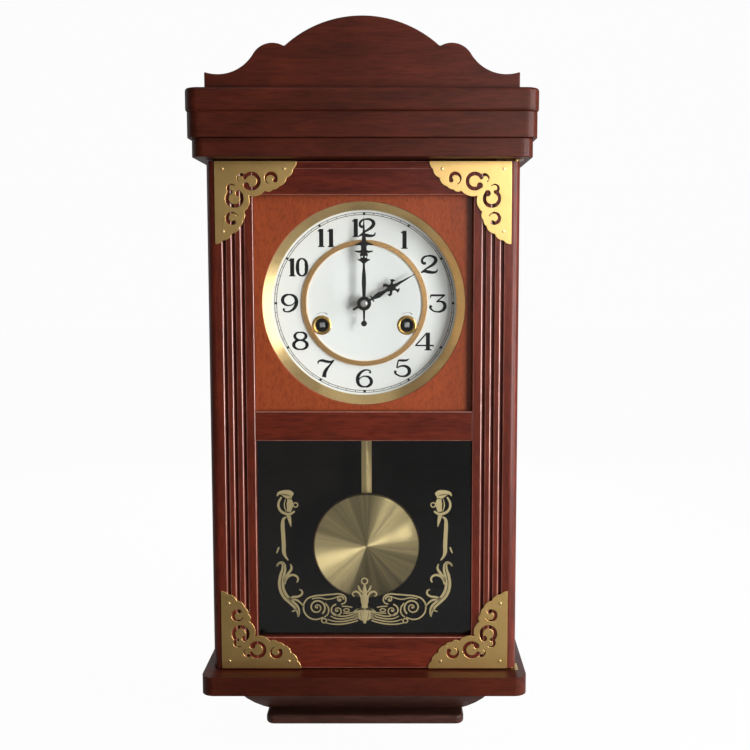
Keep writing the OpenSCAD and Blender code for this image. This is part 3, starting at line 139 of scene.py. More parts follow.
def new_surface(name, inputs):
    """A node group that gives a color, a roughness and the height of fine bumps."""
    group = bpy.data.node_groups.new(name, "ShaderNodeTree")
    for label, kind, value in inputs:
        group.interface.new_socket(label, in_out="INPUT", socket_type=kind).default_value = value
    for label, kind in (("Color", "NodeSocketColor"), ("Roughness", "NodeSocketFloat"),
                        ("Height", "NodeSocketFloat")):
        group.interface.new_socket(label, in_out="OUTPUT", socket_type=kind)
    return (group.nodes, group.links.new, group.nodes.new("NodeGroupInput"),
            group.nodes.new("NodeGroupOutput"))


def make_wood_grain():
    nodes, link, given, out = new_surface(
        "wood_grain",
        [("Along", "NodeSocketVector", (1, 1, 1)), ("Dark", "NodeSocketColor", CASE_DARK),
         ("Light", "NodeSocketColor", CASE_LIGHT), ("Gloss", "NodeSocketFloat", 0.3)])
    place = add(nodes, "TexCoord")
    along = add(nodes, "VectorMath", operation="MULTIPLY")
    link(place.outputs["Object"], along.inputs[0])
    link(given.outputs["Along"], along.inputs[1])
    broad = add(nodes, "TexNoise", {"Scale": 90, "Detail": 8, "Roughness": 0.66, "Distortion": 0.9})
    pores = add(nodes, "TexNoise", {"Scale": 520, "Detail": 3})
    cloud = add(nodes, "TexNoise", {"Scale": 9, "Detail": 2})
    link(along.outputs[0], broad.inputs["Vector"])
    link(along.outputs[0], pores.inputs["Vector"])
    link(place.outputs["Object"], cloud.inputs["Vector"])
    grain = add(nodes, "MapRange", {"From Min": 0.34, "From Max": 0.66})
    link(broad.outputs["Fac"], grain.inputs["Value"])
    half = add(nodes, "Math", {1: 0.5}, operation="MULTIPLY")
    link(grain.outputs[0], half.inputs[0])
    tone = add(nodes, "Math", {1: 0.5}, operation="MULTIPLY_ADD")
    link(cloud.outputs["Fac"], tone.inputs[0])
    link(half.outputs[0], tone.inputs[2])
    stain = add(nodes, "Mix", data_type="RGBA")
    link(tone.outputs[0], stain.inputs["Factor"])
    link(given.outputs["Dark"], stain.inputs["A"])
    link(given.outputs["Light"], stain.inputs["B"])
    pits = add(nodes, "MapRange", {"From Min": 0.32, "From Max": 0.54, "To Min": 0.58})
    link(pores.outputs["Fac"], pits.inputs["Value"])
    filled = add(nodes, "Mix", {"Factor": 0.75}, data_type="RGBA", blend_type="MULTIPLY")
    link(stain.outputs["Result"], filled.inputs["A"])
    link(pits.outputs[0], filled.inputs["B"])
    sheen = add(nodes, "Math", {1: 0.10}, operation="MULTIPLY_ADD")
    link(cloud.outputs["Fac"], sheen.inputs[0])
    link(given.outputs["Gloss"], sheen.inputs[2])
    link(filled.outputs["Result"], out.inputs["Color"])
    link(sheen.outputs[0], out.inputs["Roughness"])
    link(pits.outputs[0], out.inputs["Height"])


def new_material(name):
    material = bpy.data.materials.new(name)
    material.use_nodes = True
    return material, material.node_tree.nodes, material.node_tree.links.new


def surfaced(name, group, values, bumps, depth):
    """A material whose color, roughness and bumps come from one of the node groups."""
    material, nodes, link = new_material(name)
    shader = nodes["Principled BSDF"]
    surface = add(nodes, "Group", values, node_tree=bpy.data.node_groups[group])
    bump = add(nodes, "Bump", {"Strength": bumps, "Distance": depth})
    link(surface.outputs["Color"], shader.inputs["Base Color"])
    link(surface.outputs["Roughness"], shader.inputs["Roughness"])
    link(surface.outputs["Height"], bump.inputs["Height"])
    link(bump.outputs["Normal"], shader.inputs["Normal"])
    return material, shader


def lacquered_wood(name, along, dark, light, gloss, coat, coat_gloss=0.16, shine=0.5):
    values = {"Along": along, "Dark": dark, "Light": light, "Gloss": gloss}
    material, shader = surfaced(name, "wood_grain", values, 0.12, 0.0001)
    shader.inputs["Specular IOR Level"].default_value = shine
    shader.inputs["Coat Weight"].default_value = coat
    shader.inputs["Coat Roughness"].default_value = coat_gloss
    return material


make_wood_grain()
case_lacquer = lacquered_wood("case_lacquer", ALONG_WIDTH, CASE_DARK, CASE_LIGHT, 0.42, 0.15,
                              0.30, 0.1)
for board in ("base_board", "cornice_lower_board", "cornice_middle_board", "cornice_top_board"):
    eased(board, EDGE_ROUND, case_lacquer)
# Greyer, lighter tones for the two boards under the base: a painted reflection of the floor below.
FOOT_DARK = (0.028, 0.0100, 0.0070, 1)
FOOT_LIGHT = (0.088, 0.0340, 0.0240, 1)
foot_reflection_lacquer = lacquered_wood("foot_reflection_lacquer", ALONG_WIDTH, FOOT_DARK, FOOT_LIGHT, 0.42, 0.15,
                              0.30, 0.1)
for board in ("under_moulding", "plinth_board"):
    eased(board, EDGE_ROUND, foot_reflection_lacquer)
eased("pediment", 0.0012, case_lacquer)

# Side panels: two upright boards of the case, stained and lacquered like the cornice, with their
# grain running up.
side_lacquer = lacquered_wood("side_lacquer", ALONG_HEIGHT, CASE_DARK, CASE_LIGHT, 0.42, 0.15,
                              0.30, 0.1)
eased("side_panels", 0.0008, side_lacquer)

# Back board and the beads that hold the glass: thin wood, stained dark inside and left without
# gloss. The board's back and edges are bare. The beads are pinned round each pane inside the door.
BACK_DARK = (0.0040, 0.0034, 0.0030, 1)
BACK_LIGHT = (0.0090, 0.0068, 0.0056, 1)
BARE_DARK = (0.110, 0.050, 0.022, 1)
BARE_LIGHT = (0.190, 0.098, 0.046, 1)
back_stain = lacquered_wood("back_stain", ALONG_HEIGHT, BACK_DARK, BACK_LIGHT, 0.7, 0.0,
                            shine=0.04)
back_bare = lacquered_wood("back_bare", ALONG_HEIGHT, BARE_DARK, BARE_LIGHT, 0.65, 0.0, shine=0.2)
back = eased("back_board", 0.0006, back_stain)
back.data.materials.append(back_bare)
for face in back.data.polygons:
    if face.normal.y > -0.5:
        face.material_index = 1
eased("glass_beads", 0.0004, back_stain)

# Door frame: two fluted stiles and three rails, lacquered a little redder than the case. The flutes
# are cut the whole height of each stile, and the outer edges are rounded over. The front arrises of
# the flutes and windows get a much lighter lacquer, a painted highlight for the light they catch.
DOOR_DARK = (0.042, 0.0066, 0.0036, 1)
DOOR_LIGHT = (0.168, 0.0235, 0.0095, 1)
# Much lighter tone for the front arrises: a painted highlight for the light they catch.
DOOR_HIGHLIGHT = (0.400, 0.1700, 0.1250, 1)
stile_lacquer = lacquered_wood("stile_lacquer", ALONG_HEIGHT, DOOR_DARK, DOOR_LIGHT, 0.38, 0.15,
                               0.22, 0.15)
rail_lacquer = lacquered_wood("rail_lacquer", ALONG_WIDTH, DOOR_DARK, DOOR_LIGHT, 0.38, 0.2, 0.22,
                              0.1)
edge_highlight_lacquer = lacquered_wood("edge_highlight_lacquer", ALONG_HEIGHT, DOOR_LIGHT, DOOR_HIGHLIGHT, 0.25, 1.0, 0.20)
DOOR_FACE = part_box("door_middle_rail")[0].y
DOOR_ROUNDED = 0.1300
LINED_UP = 0.00005
LONG_EDGE = 0.05


def on_door_face(a, b):
    return abs(a.y - DOOR_FACE) < LINED_UP and abs(b.y - DOOR_FACE) < LINED_UP


def upright_arris(a, b):
    """The front edges of the flutes and of the window, which run the whole height of a stile."""
    return (on_door_face(a, b) and abs(a.x - b.x) < LINED_UP and abs(a.z - b.z) > LONG_EDGE
            and abs(a.x) < DOOR_ROUNDED)


def level_arris(a, b):
    """The front edges of a rail beside its windows."""
    return on_door_face(a, b) and abs(a.z - b.z) < LINED_UP and abs(a.x - b.x) > LONG_EDGE


for stile in ("door_left_stile", "door_right_stile"):
    eased(stile, 0.0006, stile_lacquer, painted_highlight=edge_highlight_lacquer, arris=upright_arris)
for rail in ("door_top_rail", "door_middle_rail", "door_bottom_rail"):
    eased(rail, 0.0006, rail_lacquer, rounds=2, painted_highlight=edge_highlight_lacquer, arris=level_arris)

# Panel round the dial: thin wood with a round hole, stained orange-brown and lacquered, with its
# grain running up. The hole's edge is broken and catches a thin light line.
PANEL_DARK = (0.240, 0.0380, 0.0078, 1)
PANEL_LIGHT = (0.320, 0.0590, 0.0115, 1)
panel_lacquer = lacquered_wood("panel_lacquer", (1.8, 1, 0.5), PANEL_DARK, PANEL_LIGHT, 0.45, 0.1,
                               0.30, 0.25)
eased("dial_surround_panel", 0.0006, panel_lacquer, rounds=2)

# Dial board: a board painted matte black that carries the dial and closes the case round it.
BOARD_BLACK = (0.0060, 0.0055, 0.0050, 1)
BOARD_GREY = (0.0120, 0.0110, 0.0100, 1)
board_paint = lacquered_wood("board_paint", ALONG_WIDTH, BOARD_BLACK, BOARD_GREY, 0.7, 0.0,
                             shine=0.04)
eased("dial_board", 0.0006, board_paint)

# Dial: a sheet metal disc sprayed gloss white, with the minute track, numerals and winding arrows
# printed on it in black and grey.
DIAL_X, DIAL_Z = 0.0, -0.1571
WINDING_X, WINDING_DROP = 0.040, 0.0206
DIAL_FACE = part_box("dial_plate")[0].y
DIAL_WHITE = (0.87, 0.90, 0.88, 1)
DIAL_CREAM = (0.82, 0.85, 0.82, 1)
PRINT_BLACK = (0.0040, 0.0042, 0.0045, 1)
PRINT_FADED = (0.0070, 0.0072, 0.0075, 1)
PRINT_THICK = 0.00004


def make_paint_film():
    nodes, link, given, out = new_surface(
        "paint_film",
        [("Color", "NodeSocketColor", DIAL_WHITE), ("Aged", "NodeSocketColor", DIAL_CREAM),
         ("Gloss", "NodeSocketFloat", 0.2)])
    place = add(nodes, "TexCoord")
    cloud = add(nodes, "TexNoise", {"Scale": 22, "Detail": 3})
    peel = add(nodes, "TexNoise", {"Scale": 900, "Detail": 2})
    link(place.outputs["Object"], cloud.inputs["Vector"])
    link(place.outputs["Object"], peel.inputs["Vector"])
    blend = add(nodes, "Mix", data_type="RGBA")
    link(cloud.outputs["Fac"], blend.inputs["Factor"])
    link(given.outputs["Color"], blend.inputs["A"])
    link(given.outputs["Aged"], blend.inputs["B"])
    sheen = add(nodes, "Math", {1: 0.08}, operation="MULTIPLY_ADD")
    link(cloud.outputs["Fac"], sheen.inputs[0])
    link(given.outputs["Gloss"], sheen.inputs[2])
    link(blend.outputs["Result"], out.inputs["Color"])
    link(sheen.outputs[0], out.inputs["Roughness"])
    link(peel.outputs["Fac"], out.inputs["Height"])


def painted(name, color, aged, gloss, coat=0.0, peel=0.05, shine=0.5):
    material, shader = surfaced(name, "paint_film", {"Color": color, "Aged": aged, "Gloss": gloss},
                                peel, 0.00005)
    shader.inputs["Specular IOR Level"].default_value = shine
    shader.inputs["Coat Weight"].default_value = coat
    shader.inputs["Coat Roughness"].default_value = 0.06
    return material


def brushwork(name, strokes, across, face, flat, material, body):
    """Strokes drawn on a flat face. Each is (kind, points), with points of x, z and width in
    millimetres from the place across; kind is line, curve or ring."""
    outline = bpy.data.curves.new(name, "CURVE")
    outline.dimensions = "3D"
    outline.bevel_depth = 1.0
    outline.bevel_resolution = 1
    outline.resolution_u = 7
    outline.use_fill_caps = True
    for kind, points in strokes:
        spline = outline.splines.new("POLY" if kind == "line" else "BEZIER")
        joints = spline.points if kind == "line" else spline.bezier_points
        joints.add(len(points) - 1)
        for joint, (x, z, width) in zip(joints, points):
            place = ((across[0] + x) / 1000, 0, (across[1] + z) / 1000)
            joint.co = (*place, 1) if kind == "line" else place
            joint.radius = width / 2000
            if kind != "line":
                joint.handle_left_type = joint.handle_right_type = "AUTO"
        spline.use_cyclic_u = kind == "ring"
    piece = bpy.data.objects.new(name, outline)
    bpy.context.scene.collection.objects.link(piece)
    pick(piece)
    bpy.ops.object.convert(target="MESH")
    piece = bpy.context.view_layer.objects.active
    for vertex in piece.data.vertices:
        vertex.co.y = max(-flat, min(flat, vertex.co.y))
    bpy.ops.object.mode_set(mode="EDIT")
    bpy.ops.mesh.select_all(action="SELECT")
    bpy.ops.transform.translate(value=(0, face, 0))
    bpy.ops.mesh.normals_make_consistent(inside=False)
    bpy.ops.object.mode_set(mode="OBJECT")
    bpy.ops.object.shade_smooth_by_angle(angle=math.radians(50))
    piece.data.materials.clear()
    piece.data.materials.append(material)
    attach(piece, body)


make_paint_film()
dial_enamel = painted("dial_enamel", DIAL_WHITE, DIAL_CREAM, 0.16, coat=0.4)
dial_print = painted("dial_print", PRINT_BLACK, PRINT_FADED, 0.5, shine=0.08)
arrow_print = painted("arrow_print", (0.10, 0.10, 0.11, 1), (0.16, 0.16, 0.17, 1), 0.5)
eased("dial_plate", 0.0001, dial_enamel, rounds=2)

NUMERALS = {
    "0": [("ring", [(0, 8, 1.1), (3.1, 6.2, 2.2), (4.1, 2.4, 3.2), (4.1, -2.4, 3.2),
                    (3.1, -6.2, 2.2), (0, -8, 1.1), (-3.1, -6.2, 2.2), (-4.1, -2.4, 3.2),
                    (-4.1, 2.4, 3.2), (-3.1, 6.2, 2.2)])],
    "1": [("line", [(0.7, 8.3, 3.3), (0.7, -7.9, 3.3)]),
          ("line", [(-2.3, -8, 0.9), (3.7, -8, 0.9)]),
          ("curve", [(-2.7, 6.2, 0.7), (-1.2, 6.7, 1.5), (0.2, 7.5, 1.8)])],
    "2": [("curve", [(-3.0, 1.5, 2.4), (-5.0, 1.0, 2.4), (-6.6, 3.0, 2.2), (-5.4, 6.2, 1.9),
                     (-1.6, 7.9, 1.3), (3.6, 7.4, 2.2), (6.2, 4.6, 3.4), (4.9, 1.2, 3.0),
                     (0.6, -2.0, 2.0), (-4.4, -5.2, 1.2), (-7.3, -8.0, 0.8)]),
          ("curve", [(-7.5, -7.6, 1.0), (-4.6, -6.3, 2.6), (-0.6, -6.9, 3.1), (4.0, -7.4, 2.4),
                     (7.1, -6.4, 1.4), (7.7, -4.2, 0.7)])],
    "3": [("line", [(-6.4, 7.4, 1.8), (6.6, 7.4, 1.8)]),
          ("line", [(-6.6, 8.0, 1.2), (-7.2, 4.6, 0.6)]),
          ("line", [(6.2, 7.6, 1.2), (-1.2, 1.4, 1.0)]),
          ("curve", [(-1.4, 1.2, 1.0), (2.6, 1.6, 1.6), (6.0, -0.4, 3.0), (6.3, -4.2, 3.3),
                     (3.2, -7.4, 2.0), (-1.4, -8.0, 1.2), (-5.6, -6.2, 1.4), (-7.1, -3.4, 2.2),
                     (-5.8, -2.4, 2.6)])],
    "4": [("line", [(2.6, 8.2, 1.1), (-8.2, -3.9, 1.1)]),
          ("line", [(-8.6, -3.9, 1.2), (8.6, -3.9, 1.2)]),
          ("line", [(3.4, 8.2, 3.2), (3.4, -8.0, 3.2)]),
          ("line", [(0.2, -8.0, 0.9), (6.8, -8.0, 0.9)]),
          ("line", [(8.3, -3.2, 0.7), (8.5, -5.2, 0.7)])],
    "5": [("curve", [(-3.6, 7.2, 1.8), (0.6, 7.0, 2.2), (4.0, 7.4, 1.6), (6.0, 8.6, 0.7)]),
          ("line", [(-3.9, 7.6, 1.2), (-5.6, 0.2, 1.2)]),
          ("curve", [(-5.6, 0.0, 1.1), (-1.0, 1.8, 1.5), (4.0, 1.0, 2.6), (6.4, -2.6, 3.4),
                     (4.6, -6.6, 2.4), (0.0, -8.0, 1.3), (-5.0, -6.6, 1.4), (-7.2, -4.0, 2.0),
                     (-6.2, -2.8, 2.4)])],
    "6": [("curve", [(4.9, 4.9, 2.2), (5.4, 6.6, 1.4), (2.8, 8.0, 1.1), (-1.6, 7.0, 1.9),
                     (-5.6, 3.0, 3.0), (-6.6, -2.0, 3.4), (-4.9, -6.2, 2.6), (0, -8.0, 1.2),
                     (4.8, -6.4, 2.6), (6.4, -2.8, 3.2), (4.6, 0.7, 2.4), (0.6, 2.1, 1.1),
                     (-3.4, 0.9, 0.9), (-5.4, -1.4, 0.7)])],
    "7": [("curve", [(-7.6, 4.2, 0.6), (-7.0, 6.6, 1.4), (-4.0, 7.6, 2.4), (0.8, 6.6, 2.6),
                     (4.6, 6.4, 2.0), (7.8, 8.0, 1.0)]),
          ("curve", [(7.6, 7.8, 0.9), (3.0, 2.4, 1.8), (-0.6, -2.6, 3.2), (-2.0, -8.2, 4.0)])],
    "8": [("ring", [(0, 8.0, 1.1), (4.2, 6.8, 2.2), (5.3, 4.2, 2.9), (3.4, 1.6, 2.0),
                    (0, 0.6, 1.4), (-3.8, 1.8, 2.4), (-5.2, 4.4, 2.8), (-3.8, 7.0, 1.8)]),
          ("ring", [(0, 0.6, 1.4), (4.6, -0.8, 2.4), (6.3, -3.8, 3.2), (4.4, -7.0, 2.0),
                    (0, -8.0, 1.1), (-4.4, -7.0, 2.0), (-6.3, -3.8, 3.2), (-4.6, -0.8, 2.4)])],
}
NUMERALS["9"] = [(kind, [(-x, -z, width) for x, z, width in points])
                 for kind, points in NUMERALS["6"]]
NUMERAL_PLACES = [("1", 37.0, 59.3), ("2", 60.7, 36.2), ("3", 69.1, 0.0), ("4", 56.4, -35.9),
                  ("5", 36.0, -61.0), ("6", 0.0, -71.0), ("7", -36.4, -61.6), ("8", -60.4, -35.4),
                  ("9", -70.4, 0.0), ("10", -61.2, 33.6), ("11", -36.0, 60.9), ("12", 0.0, 70.2)]
THINNEST, BROADER = 0.25, 1.12
DIGIT_STEPS = {"10": (-7.0, 2.9), "11": (-4.8, 4.4), "12": (-8.5, 2.6)}
for numeral, x, z in NUMERAL_PLACES:
    strokes = []
    for digit, step in zip(numeral, DIGIT_STEPS.get(numeral, (0.0,))):
        strokes += [(kind, [(px + step, pz, THINNEST + BROADER * width) for px, pz, width in points])
                    for kind, points in NUMERALS[digit]]
    brushwork("numeral_" + numeral, strokes, (x, 1000 * DIAL_Z + z), DIAL_FACE, PRINT_THICK,
              dial_print, "case")

TRACK_INNER, TRACK_OUTER = 82.4, 84.2
RING_LINE, MINUTE_LINE, FIFTH_LINE = 0.6, 0.55, 2.3
FIFTH_PAST = 0.4
track = []
for line_r in (TRACK_INNER, TRACK_OUTER):
    track.append(("ring", [(line_r * math.sin(math.radians(15 * i)),
                            line_r * math.cos(math.radians(15 * i)), RING_LINE)
                           for i in range(24)]))
for minute in range(60):
    turn = math.radians(6 * minute)
    fifth = minute % 5 == 0
    past = FIFTH_PAST if fifth else 0
    track.append(("line", [(r * math.sin(turn), r * math.cos(turn),
                            FIFTH_LINE if fifth else MINUTE_LINE)
                           for r in (TRACK_INNER - past, TRACK_OUTER + past)]))
brushwork("minute_track", track, (0, 1000 * DIAL_Z), DIAL_FACE, PRINT_THICK, dial_print, "case")

for side in (-1, 1):
    arrow = [("curve", [(-5.0, 10.2, 0.35), (-2.4, 11.3, 0.35), (0.4, 11.7, 0.35),
                        (3.2, 11.3, 0.35)]),
             ("line", [(2.6, 12.0, 0.3), (5.0, 10.2, 1.3)])]
    brushwork("winding_arrow_" + ("left" if side < 0 else "right"), arrow,
              (1000 * WINDING_X * side, 1000 * (DIAL_Z - WINDING_DROP)), DIAL_FACE, PRINT_THICK,
              arrow_print, "case")

# Dial rings and winding grommets: spun and turned brass, polished on the lathe and lacquered, so
# the finest marks run round them. The outer ring slopes in to the dial; the inner one is redder.
BRASS = (0.62, 0.41, 0.125, 1)
BRASS_SHADE = (0.36, 0.215, 0.062, 1)


def make_metal_surface():
    nodes, link, given, out = new_surface(
        "metal_surface",
        [("Color", "NodeSocketColor", BRASS), ("Shade", "NodeSocketColor", BRASS_SHADE),
         ("Along", "NodeSocketVector", (1, 1, 1)), ("Gloss", "NodeSocketFloat", 0.2)])
    place = add(nodes, "TexCoord")
    along = add(nodes, "VectorMath", operation="MULTIPLY")
    link(place.outputs["Object"], along.inputs[0])
    link(given.outputs["Along"], along.inputs[1])
    cloud = add(nodes, "TexNoise", {"Scale": 35, "Detail": 4})
    scratch = add(nodes, "TexNoise", {"Scale": 1500, "Detail": 2})
    link(place.outputs["Object"], cloud.inputs["Vector"])
    link(along.outputs[0], scratch.inputs["Vector"])
    blend = add(nodes, "Mix", data_type="RGBA")
    link(cloud.outputs["Fac"], blend.inputs["Factor"])
    link(given.outputs["Color"], blend.inputs["A"])
    link(given.outputs["Shade"], blend.inputs["B"])
    sheen = add(nodes, "Math", {1: 0.16}, operation="MULTIPLY_ADD")
    link(scratch.outputs["Fac"], sheen.inputs[0])
    link(given.outputs["Gloss"], sheen.inputs[2])
    link(blend.outputs["Result"], out.inputs["Color"])
    link(sheen.outputs[0], out.inputs["Roughness"])
    link(scratch.outputs["Fac"], out.inputs["Height"])


def metal(name, color, shade, gloss, along=(1, 1, 1), scratches=0.05, turned=0.0, spin=0.25):
    values = {"Color": color, "Shade": shade, "Along": along, "Gloss": gloss}
    material, shader = surfaced(name, "metal_surface", values, scratches, 0.00003)
    shader.inputs["Metallic"].default_value = 1.0
    if turned:
        shader.inputs["Anisotropic"].default_value = turned
        shader.inputs["Anisotropic Rotation"].default_value = spin
        round_axis = add(material.node_tree.nodes, "Tangent", direction_type="RADIAL", axis="Y")
        material.node_tree.links.new(round_axis.outputs["Tangent"], shader.inputs["Tangent"])
    return material


make_metal_surface()
ring_brass = metal("ring_brass", (0.78, 0.60, 0.30, 1), (0.60, 0.43, 0.18, 1), 0.22, turned=0.8)
inner_ring_brass = metal("inner_ring_brass", (0.78, 0.48, 0.21, 1), (0.60, 0.35, 0.14, 1), 0.16,
                         scratches=0.02)
grommet_brass = metal("grommet_brass", BRASS, BRASS_SHADE, 0.14)
INNER_RING_REACH = 0.070
rings = eased("dial_rings", 0.0002, ring_brass, rounds=2)
rings.data.materials.append(inner_ring_brass)
for face in rings.data.polygons:
    if math.hypot(face.center.x - DIAL_X, face.center.z - DIAL_Z) < INNER_RING_REACH:
        face.material_index = 1
eased("winding_grommets", 0.00025, grommet_brass, rounds=2)

# Hands: stamped from thin steel and painted gloss black. The hour hand is a push fit on its pipe;
# the minute hand sits on the square of the cannon pinion under a polished nut.
HAND_BLACK = (0.0040, 0.0040, 0.0042, 1)
HAND_WORN = (0.0080, 0.0076, 0.0076, 1)
hand_paint = painted("hand_paint", HAND_BLACK, HAND_WORN, 0.16, coat=0.3, shine=0.25)
for hand in ("minute_hand", "hour_hand"):
    eased(hand, 0.00015, hand_paint, rounds=2, sharp=50)

# Corner brackets and their pins: sheet brass, pierced and stamped to a scalloped outline, each
# fixed to the door by three round-headed pins.
BRACKET_BRASS = (0.85, 0.57, 0.22, 1)
BRACKET_SHADE = (0.64, 0.41, 0.14, 1)
bracket_brass = metal("bracket_brass", BRACKET_BRASS, BRACKET_SHADE, 0.30)
pin_brass = metal("pin_brass", (0.95, 0.80, 0.45, 1), BRACKET_BRASS, 0.26)
eased("corner_brackets", 0.0003, bracket_brass, sharp=50, clamp=False)
eased("bracket_pins", 0.0003, pin_brass, rounds=2, sharp=50)

# Panes: two sheets of 2 mm float glass held in the door by beads. Their cut edges are ground. Only
# the camera sees them as glass, so that the lamps light what is behind.
def seen_by_camera(nodes, link):
    """One for what the camera sees, also through a pane. It comes with the light path's node."""
    rays = add(nodes, "LightPath")
    seen = add(nodes, "Math", operation="MAXIMUM")
    link(rays.outputs["Is Camera Ray"], seen.inputs[0])
    link(rays.outputs["Is Transmission Ray"], seen.inputs[1])
    return seen.outputs[0], rays


def make_pane_glass():
    material, nodes, link = new_material("pane_glass")
    shader = nodes["Principled BSDF"]
    shader.inputs["Base Color"].default_value = (0.99, 1.0, 0.995, 1)
    shader.inputs["Roughness"].default_value = 0.0
    shader.inputs["IOR"].default_value = 1.45
    shader.inputs["Transmission Weight"].default_value = 1.0
    clear = add(nodes, "BsdfTransparent")
    passed = add(nodes, "MixShader")
    link(seen_by_camera(nodes, link)[0], passed.inputs["Fac"])
    link(clear.outputs["BSDF"], passed.inputs[1])
    link(shader.outputs["BSDF"], passed.inputs[2])
    link(passed.outputs["Shader"], nodes["Material Output"].inputs["Surface"])
    return material


pane_glass = make_pane_glass()
for pane in ("dial_glass", "pendulum_glass"):
    eased(pane, 0.0003, pane_glass, rounds=2)

# Gilt ornament on the pendulum window: a traditional border of leaves and scrolls, printed in gold
# on the back of the glass. The left half is drawn and the right half mirrors it.
GILT_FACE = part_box("pendulum_glass")[1].y
GILT_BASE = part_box("door_bottom_rail")[1].z * 1000
GILT_THICK = 0.00009
gilt = metal("gilt", (0.60, 0.50, 0.27, 1), (0.46, 0.37, 0.19, 1), 0.42, scratches=0.1)


def hoop(x, z, radius, width, height=None, around=(0, 1.05, 2.09, 3.14, 4.19, 5.24)):
    return ("ring", [(x + radius * math.cos(turn), z + (height or radius) * math.sin(turn), width)
                     for turn in around])


def volute(x, z, radius, turns, width, start):
    """A spiral that winds in to its eye."""
    points = []
    steps = int(10 * turns)
    for i in range(steps + 1):
        r = radius * (1 - 0.84 * i / steps)
        turn = math.radians(start + 360 * turns * i / steps)
        points.append((x + r * math.cos(turn), z + r * math.sin(turn),
                       width * (1 - 0.45 * i / steps)))
    return [("curve", points), hoop(x, z, 0.5, 1.3, around=(0, 1.57, 3.14, 4.71))]


def veined(points):
    """A broad stroke drawn as two, with a hair line left bare between them."""
    halves = []
    for side in (-1, 1):
        moved = []
        for i, (x, z, width) in enumerate(points):
            x0, z0, _ = points[max(i - 1, 0)]
            x1, z1, _ = points[min(i + 1, len(points) - 1)]
            away = side * (width / 4 + 0.12) / math.hypot(x1 - x0, z1 - z0)
            moved.append((x - away * (z1 - z0), z + away * (x1 - x0), max(0.5, width / 2 - 0.1)))
        halves.append(("curve", moved))
    return halves


finial = [
    ("curve", [(-81.9, 133.4, 1.2), (-80.2, 136.0, 3.0), (-75.6, 136.6, 5.4), (-70.2, 136.2, 6.2),
               (-66.8, 134.6, 3.4)]),
    ("curve", [(-77.2, 134.8, 2.2), (-71.6, 132.6, 5.0), (-68.2, 131.6, 3.0)]),
    ("curve", [(-77.9, 132.4, 1.8), (-80.7, 126.1, 2.4), (-79.6, 120.6, 2.6), (-75.6, 117.1, 2.8),
               (-69.9, 116.3, 2.8), (-65.5, 118.9, 1.8)]),
    ("curve", [(-70.6, 131.2, 4.0), (-69.9, 126.1, 7.4), (-71.0, 118.4, 4.6)]),
    ("curve", [(-74.2, 130.4, 0.8), (-75.2, 124.4, 1.3), (-73.6, 118.6, 0.8)]),
    hoop(-64.7, 124.9, 2.1, 1.2),
    ("curve", [(-71.4, 115.4, 4.4), (-70.2, 109.9, 3.4), (-69.1, 104.1, 0.7)])]
baton = [
    ("curve", [(-73.4, 113.4, 1.4), (-76.0, 111.6, 2.8), (-76.9, 106.0, 4.2), (-76.5, 96.0, 4.3),
               (-76.1, 86.0, 4.4), (-76.0, 79.4, 4.0), (-74.6, 75.4, 2.6), (-72.0, 71.8, 1.2)]),
    ("curve", [(-80.7, 84.4, 1.6), (-81.8, 81.4, 1.8), (-83.0, 78.6, 1.0)])]
acanthus = [
    *veined([(-83.0, 66.0, 1.0), (-80.8, 68.9, 1.8), (-77.6, 69.1, 2.8), (-76.2, 64.6, 4.4),
             (-78.0, 56.6, 6.0), (-78.9, 47.2, 6.2), (-75.9, 38.0, 6.0), (-69.6, 31.2, 5.4),
             (-64.8, 26.2, 5.2), (-63.0, 21.6, 3.4), (-63.0, 16.9, 0.8)]),
    ("curve", [(-64.2, 24.6, 1.4), (-66.2, 23.2, 2.0), (-69.2, 22.0, 1.0)]),
    ("curve", [(-69.9, 68.2, 0.9), (-69.0, 64.2, 2.4), (-71.4, 59.8, 2.8), (-75.2, 54.6, 2.6),
               (-76.4, 50.4, 1.6)]),
    ("curve", [(-75.6, 48.4, 1.4), (-74.0, 53.6, 2.2), (-70.4, 57.0, 2.5), (-65.9, 57.2, 2.4),
               (-62.9, 53.8, 2.0), (-64.0, 50.4, 1.4)]),
    ("curve", [(-72.6, 34.2, 1.4), (-67.4, 36.2, 2.3), (-62.6, 36.8, 2.4), (-59.2, 39.6, 2.1),
               (-59.8, 42.6, 1.6), (-61.9, 43.4, 1.0)]),
    ("curve", [(-70.6, 33.6, 1.4), (-65.0, 33.4, 2.3), (-60.4, 30.2, 1.8), (-57.4, 26.4, 1.3)])]
base_scrolls = [
    ("curve", [(-39.2, 16.4, 1.3), (-46.8, 14.4, 1.5), (-54.4, 17.6, 1.6), (-58.0, 25.4, 1.6),
               (-55.2, 33.6, 1.6), (-48.2, 37.0, 1.7), (-39.4, 38.0, 1.6), (-30.0, 38.8, 1.6),
               (-22.6, 38.9, 1.6), (-18.2, 35.8, 1.6), (-18.6, 31.0, 1.5), (-22.4, 29.2, 1.3)]),
    ("curve", [(-50.0, 34.4, 1.1), (-43.0, 35.4, 1.2), (-35.6, 34.0, 1.2), (-29.0, 35.2, 1.2),
               (-24.6, 37.0, 1.0)]),
    *volute(-45.2, 26.0, 8.0, 1.7, 1.9, -50), *volute(-26.0, 22.9, 6.4, 1.4, 1.7, 100),
    *volute(-23.3, 33.8, 3.6, 1.1, 1.7, 0),
    ("curve", [(-37.4, 30.4, 1.3), (-34.4, 25.6, 1.6), (-35.0, 19.6, 1.4), (-38.2, 16.6, 1.2)]),
    hoop(-17.2, 23.4, 2.6, 1.1, height=1.4),
    hoop(-38.6, 13.2, 2.3, 1.3, height=2.0),
    ("curve", [(-21.6, 27.2, 1.2), (-16.6, 27.0, 1.3), (-11.6, 26.2, 1.2)]),
    ("curve", [(-20.4, 20.4, 1.1), (-15.4, 20.6, 1.2), (-10.6, 21.2, 1.2)])]
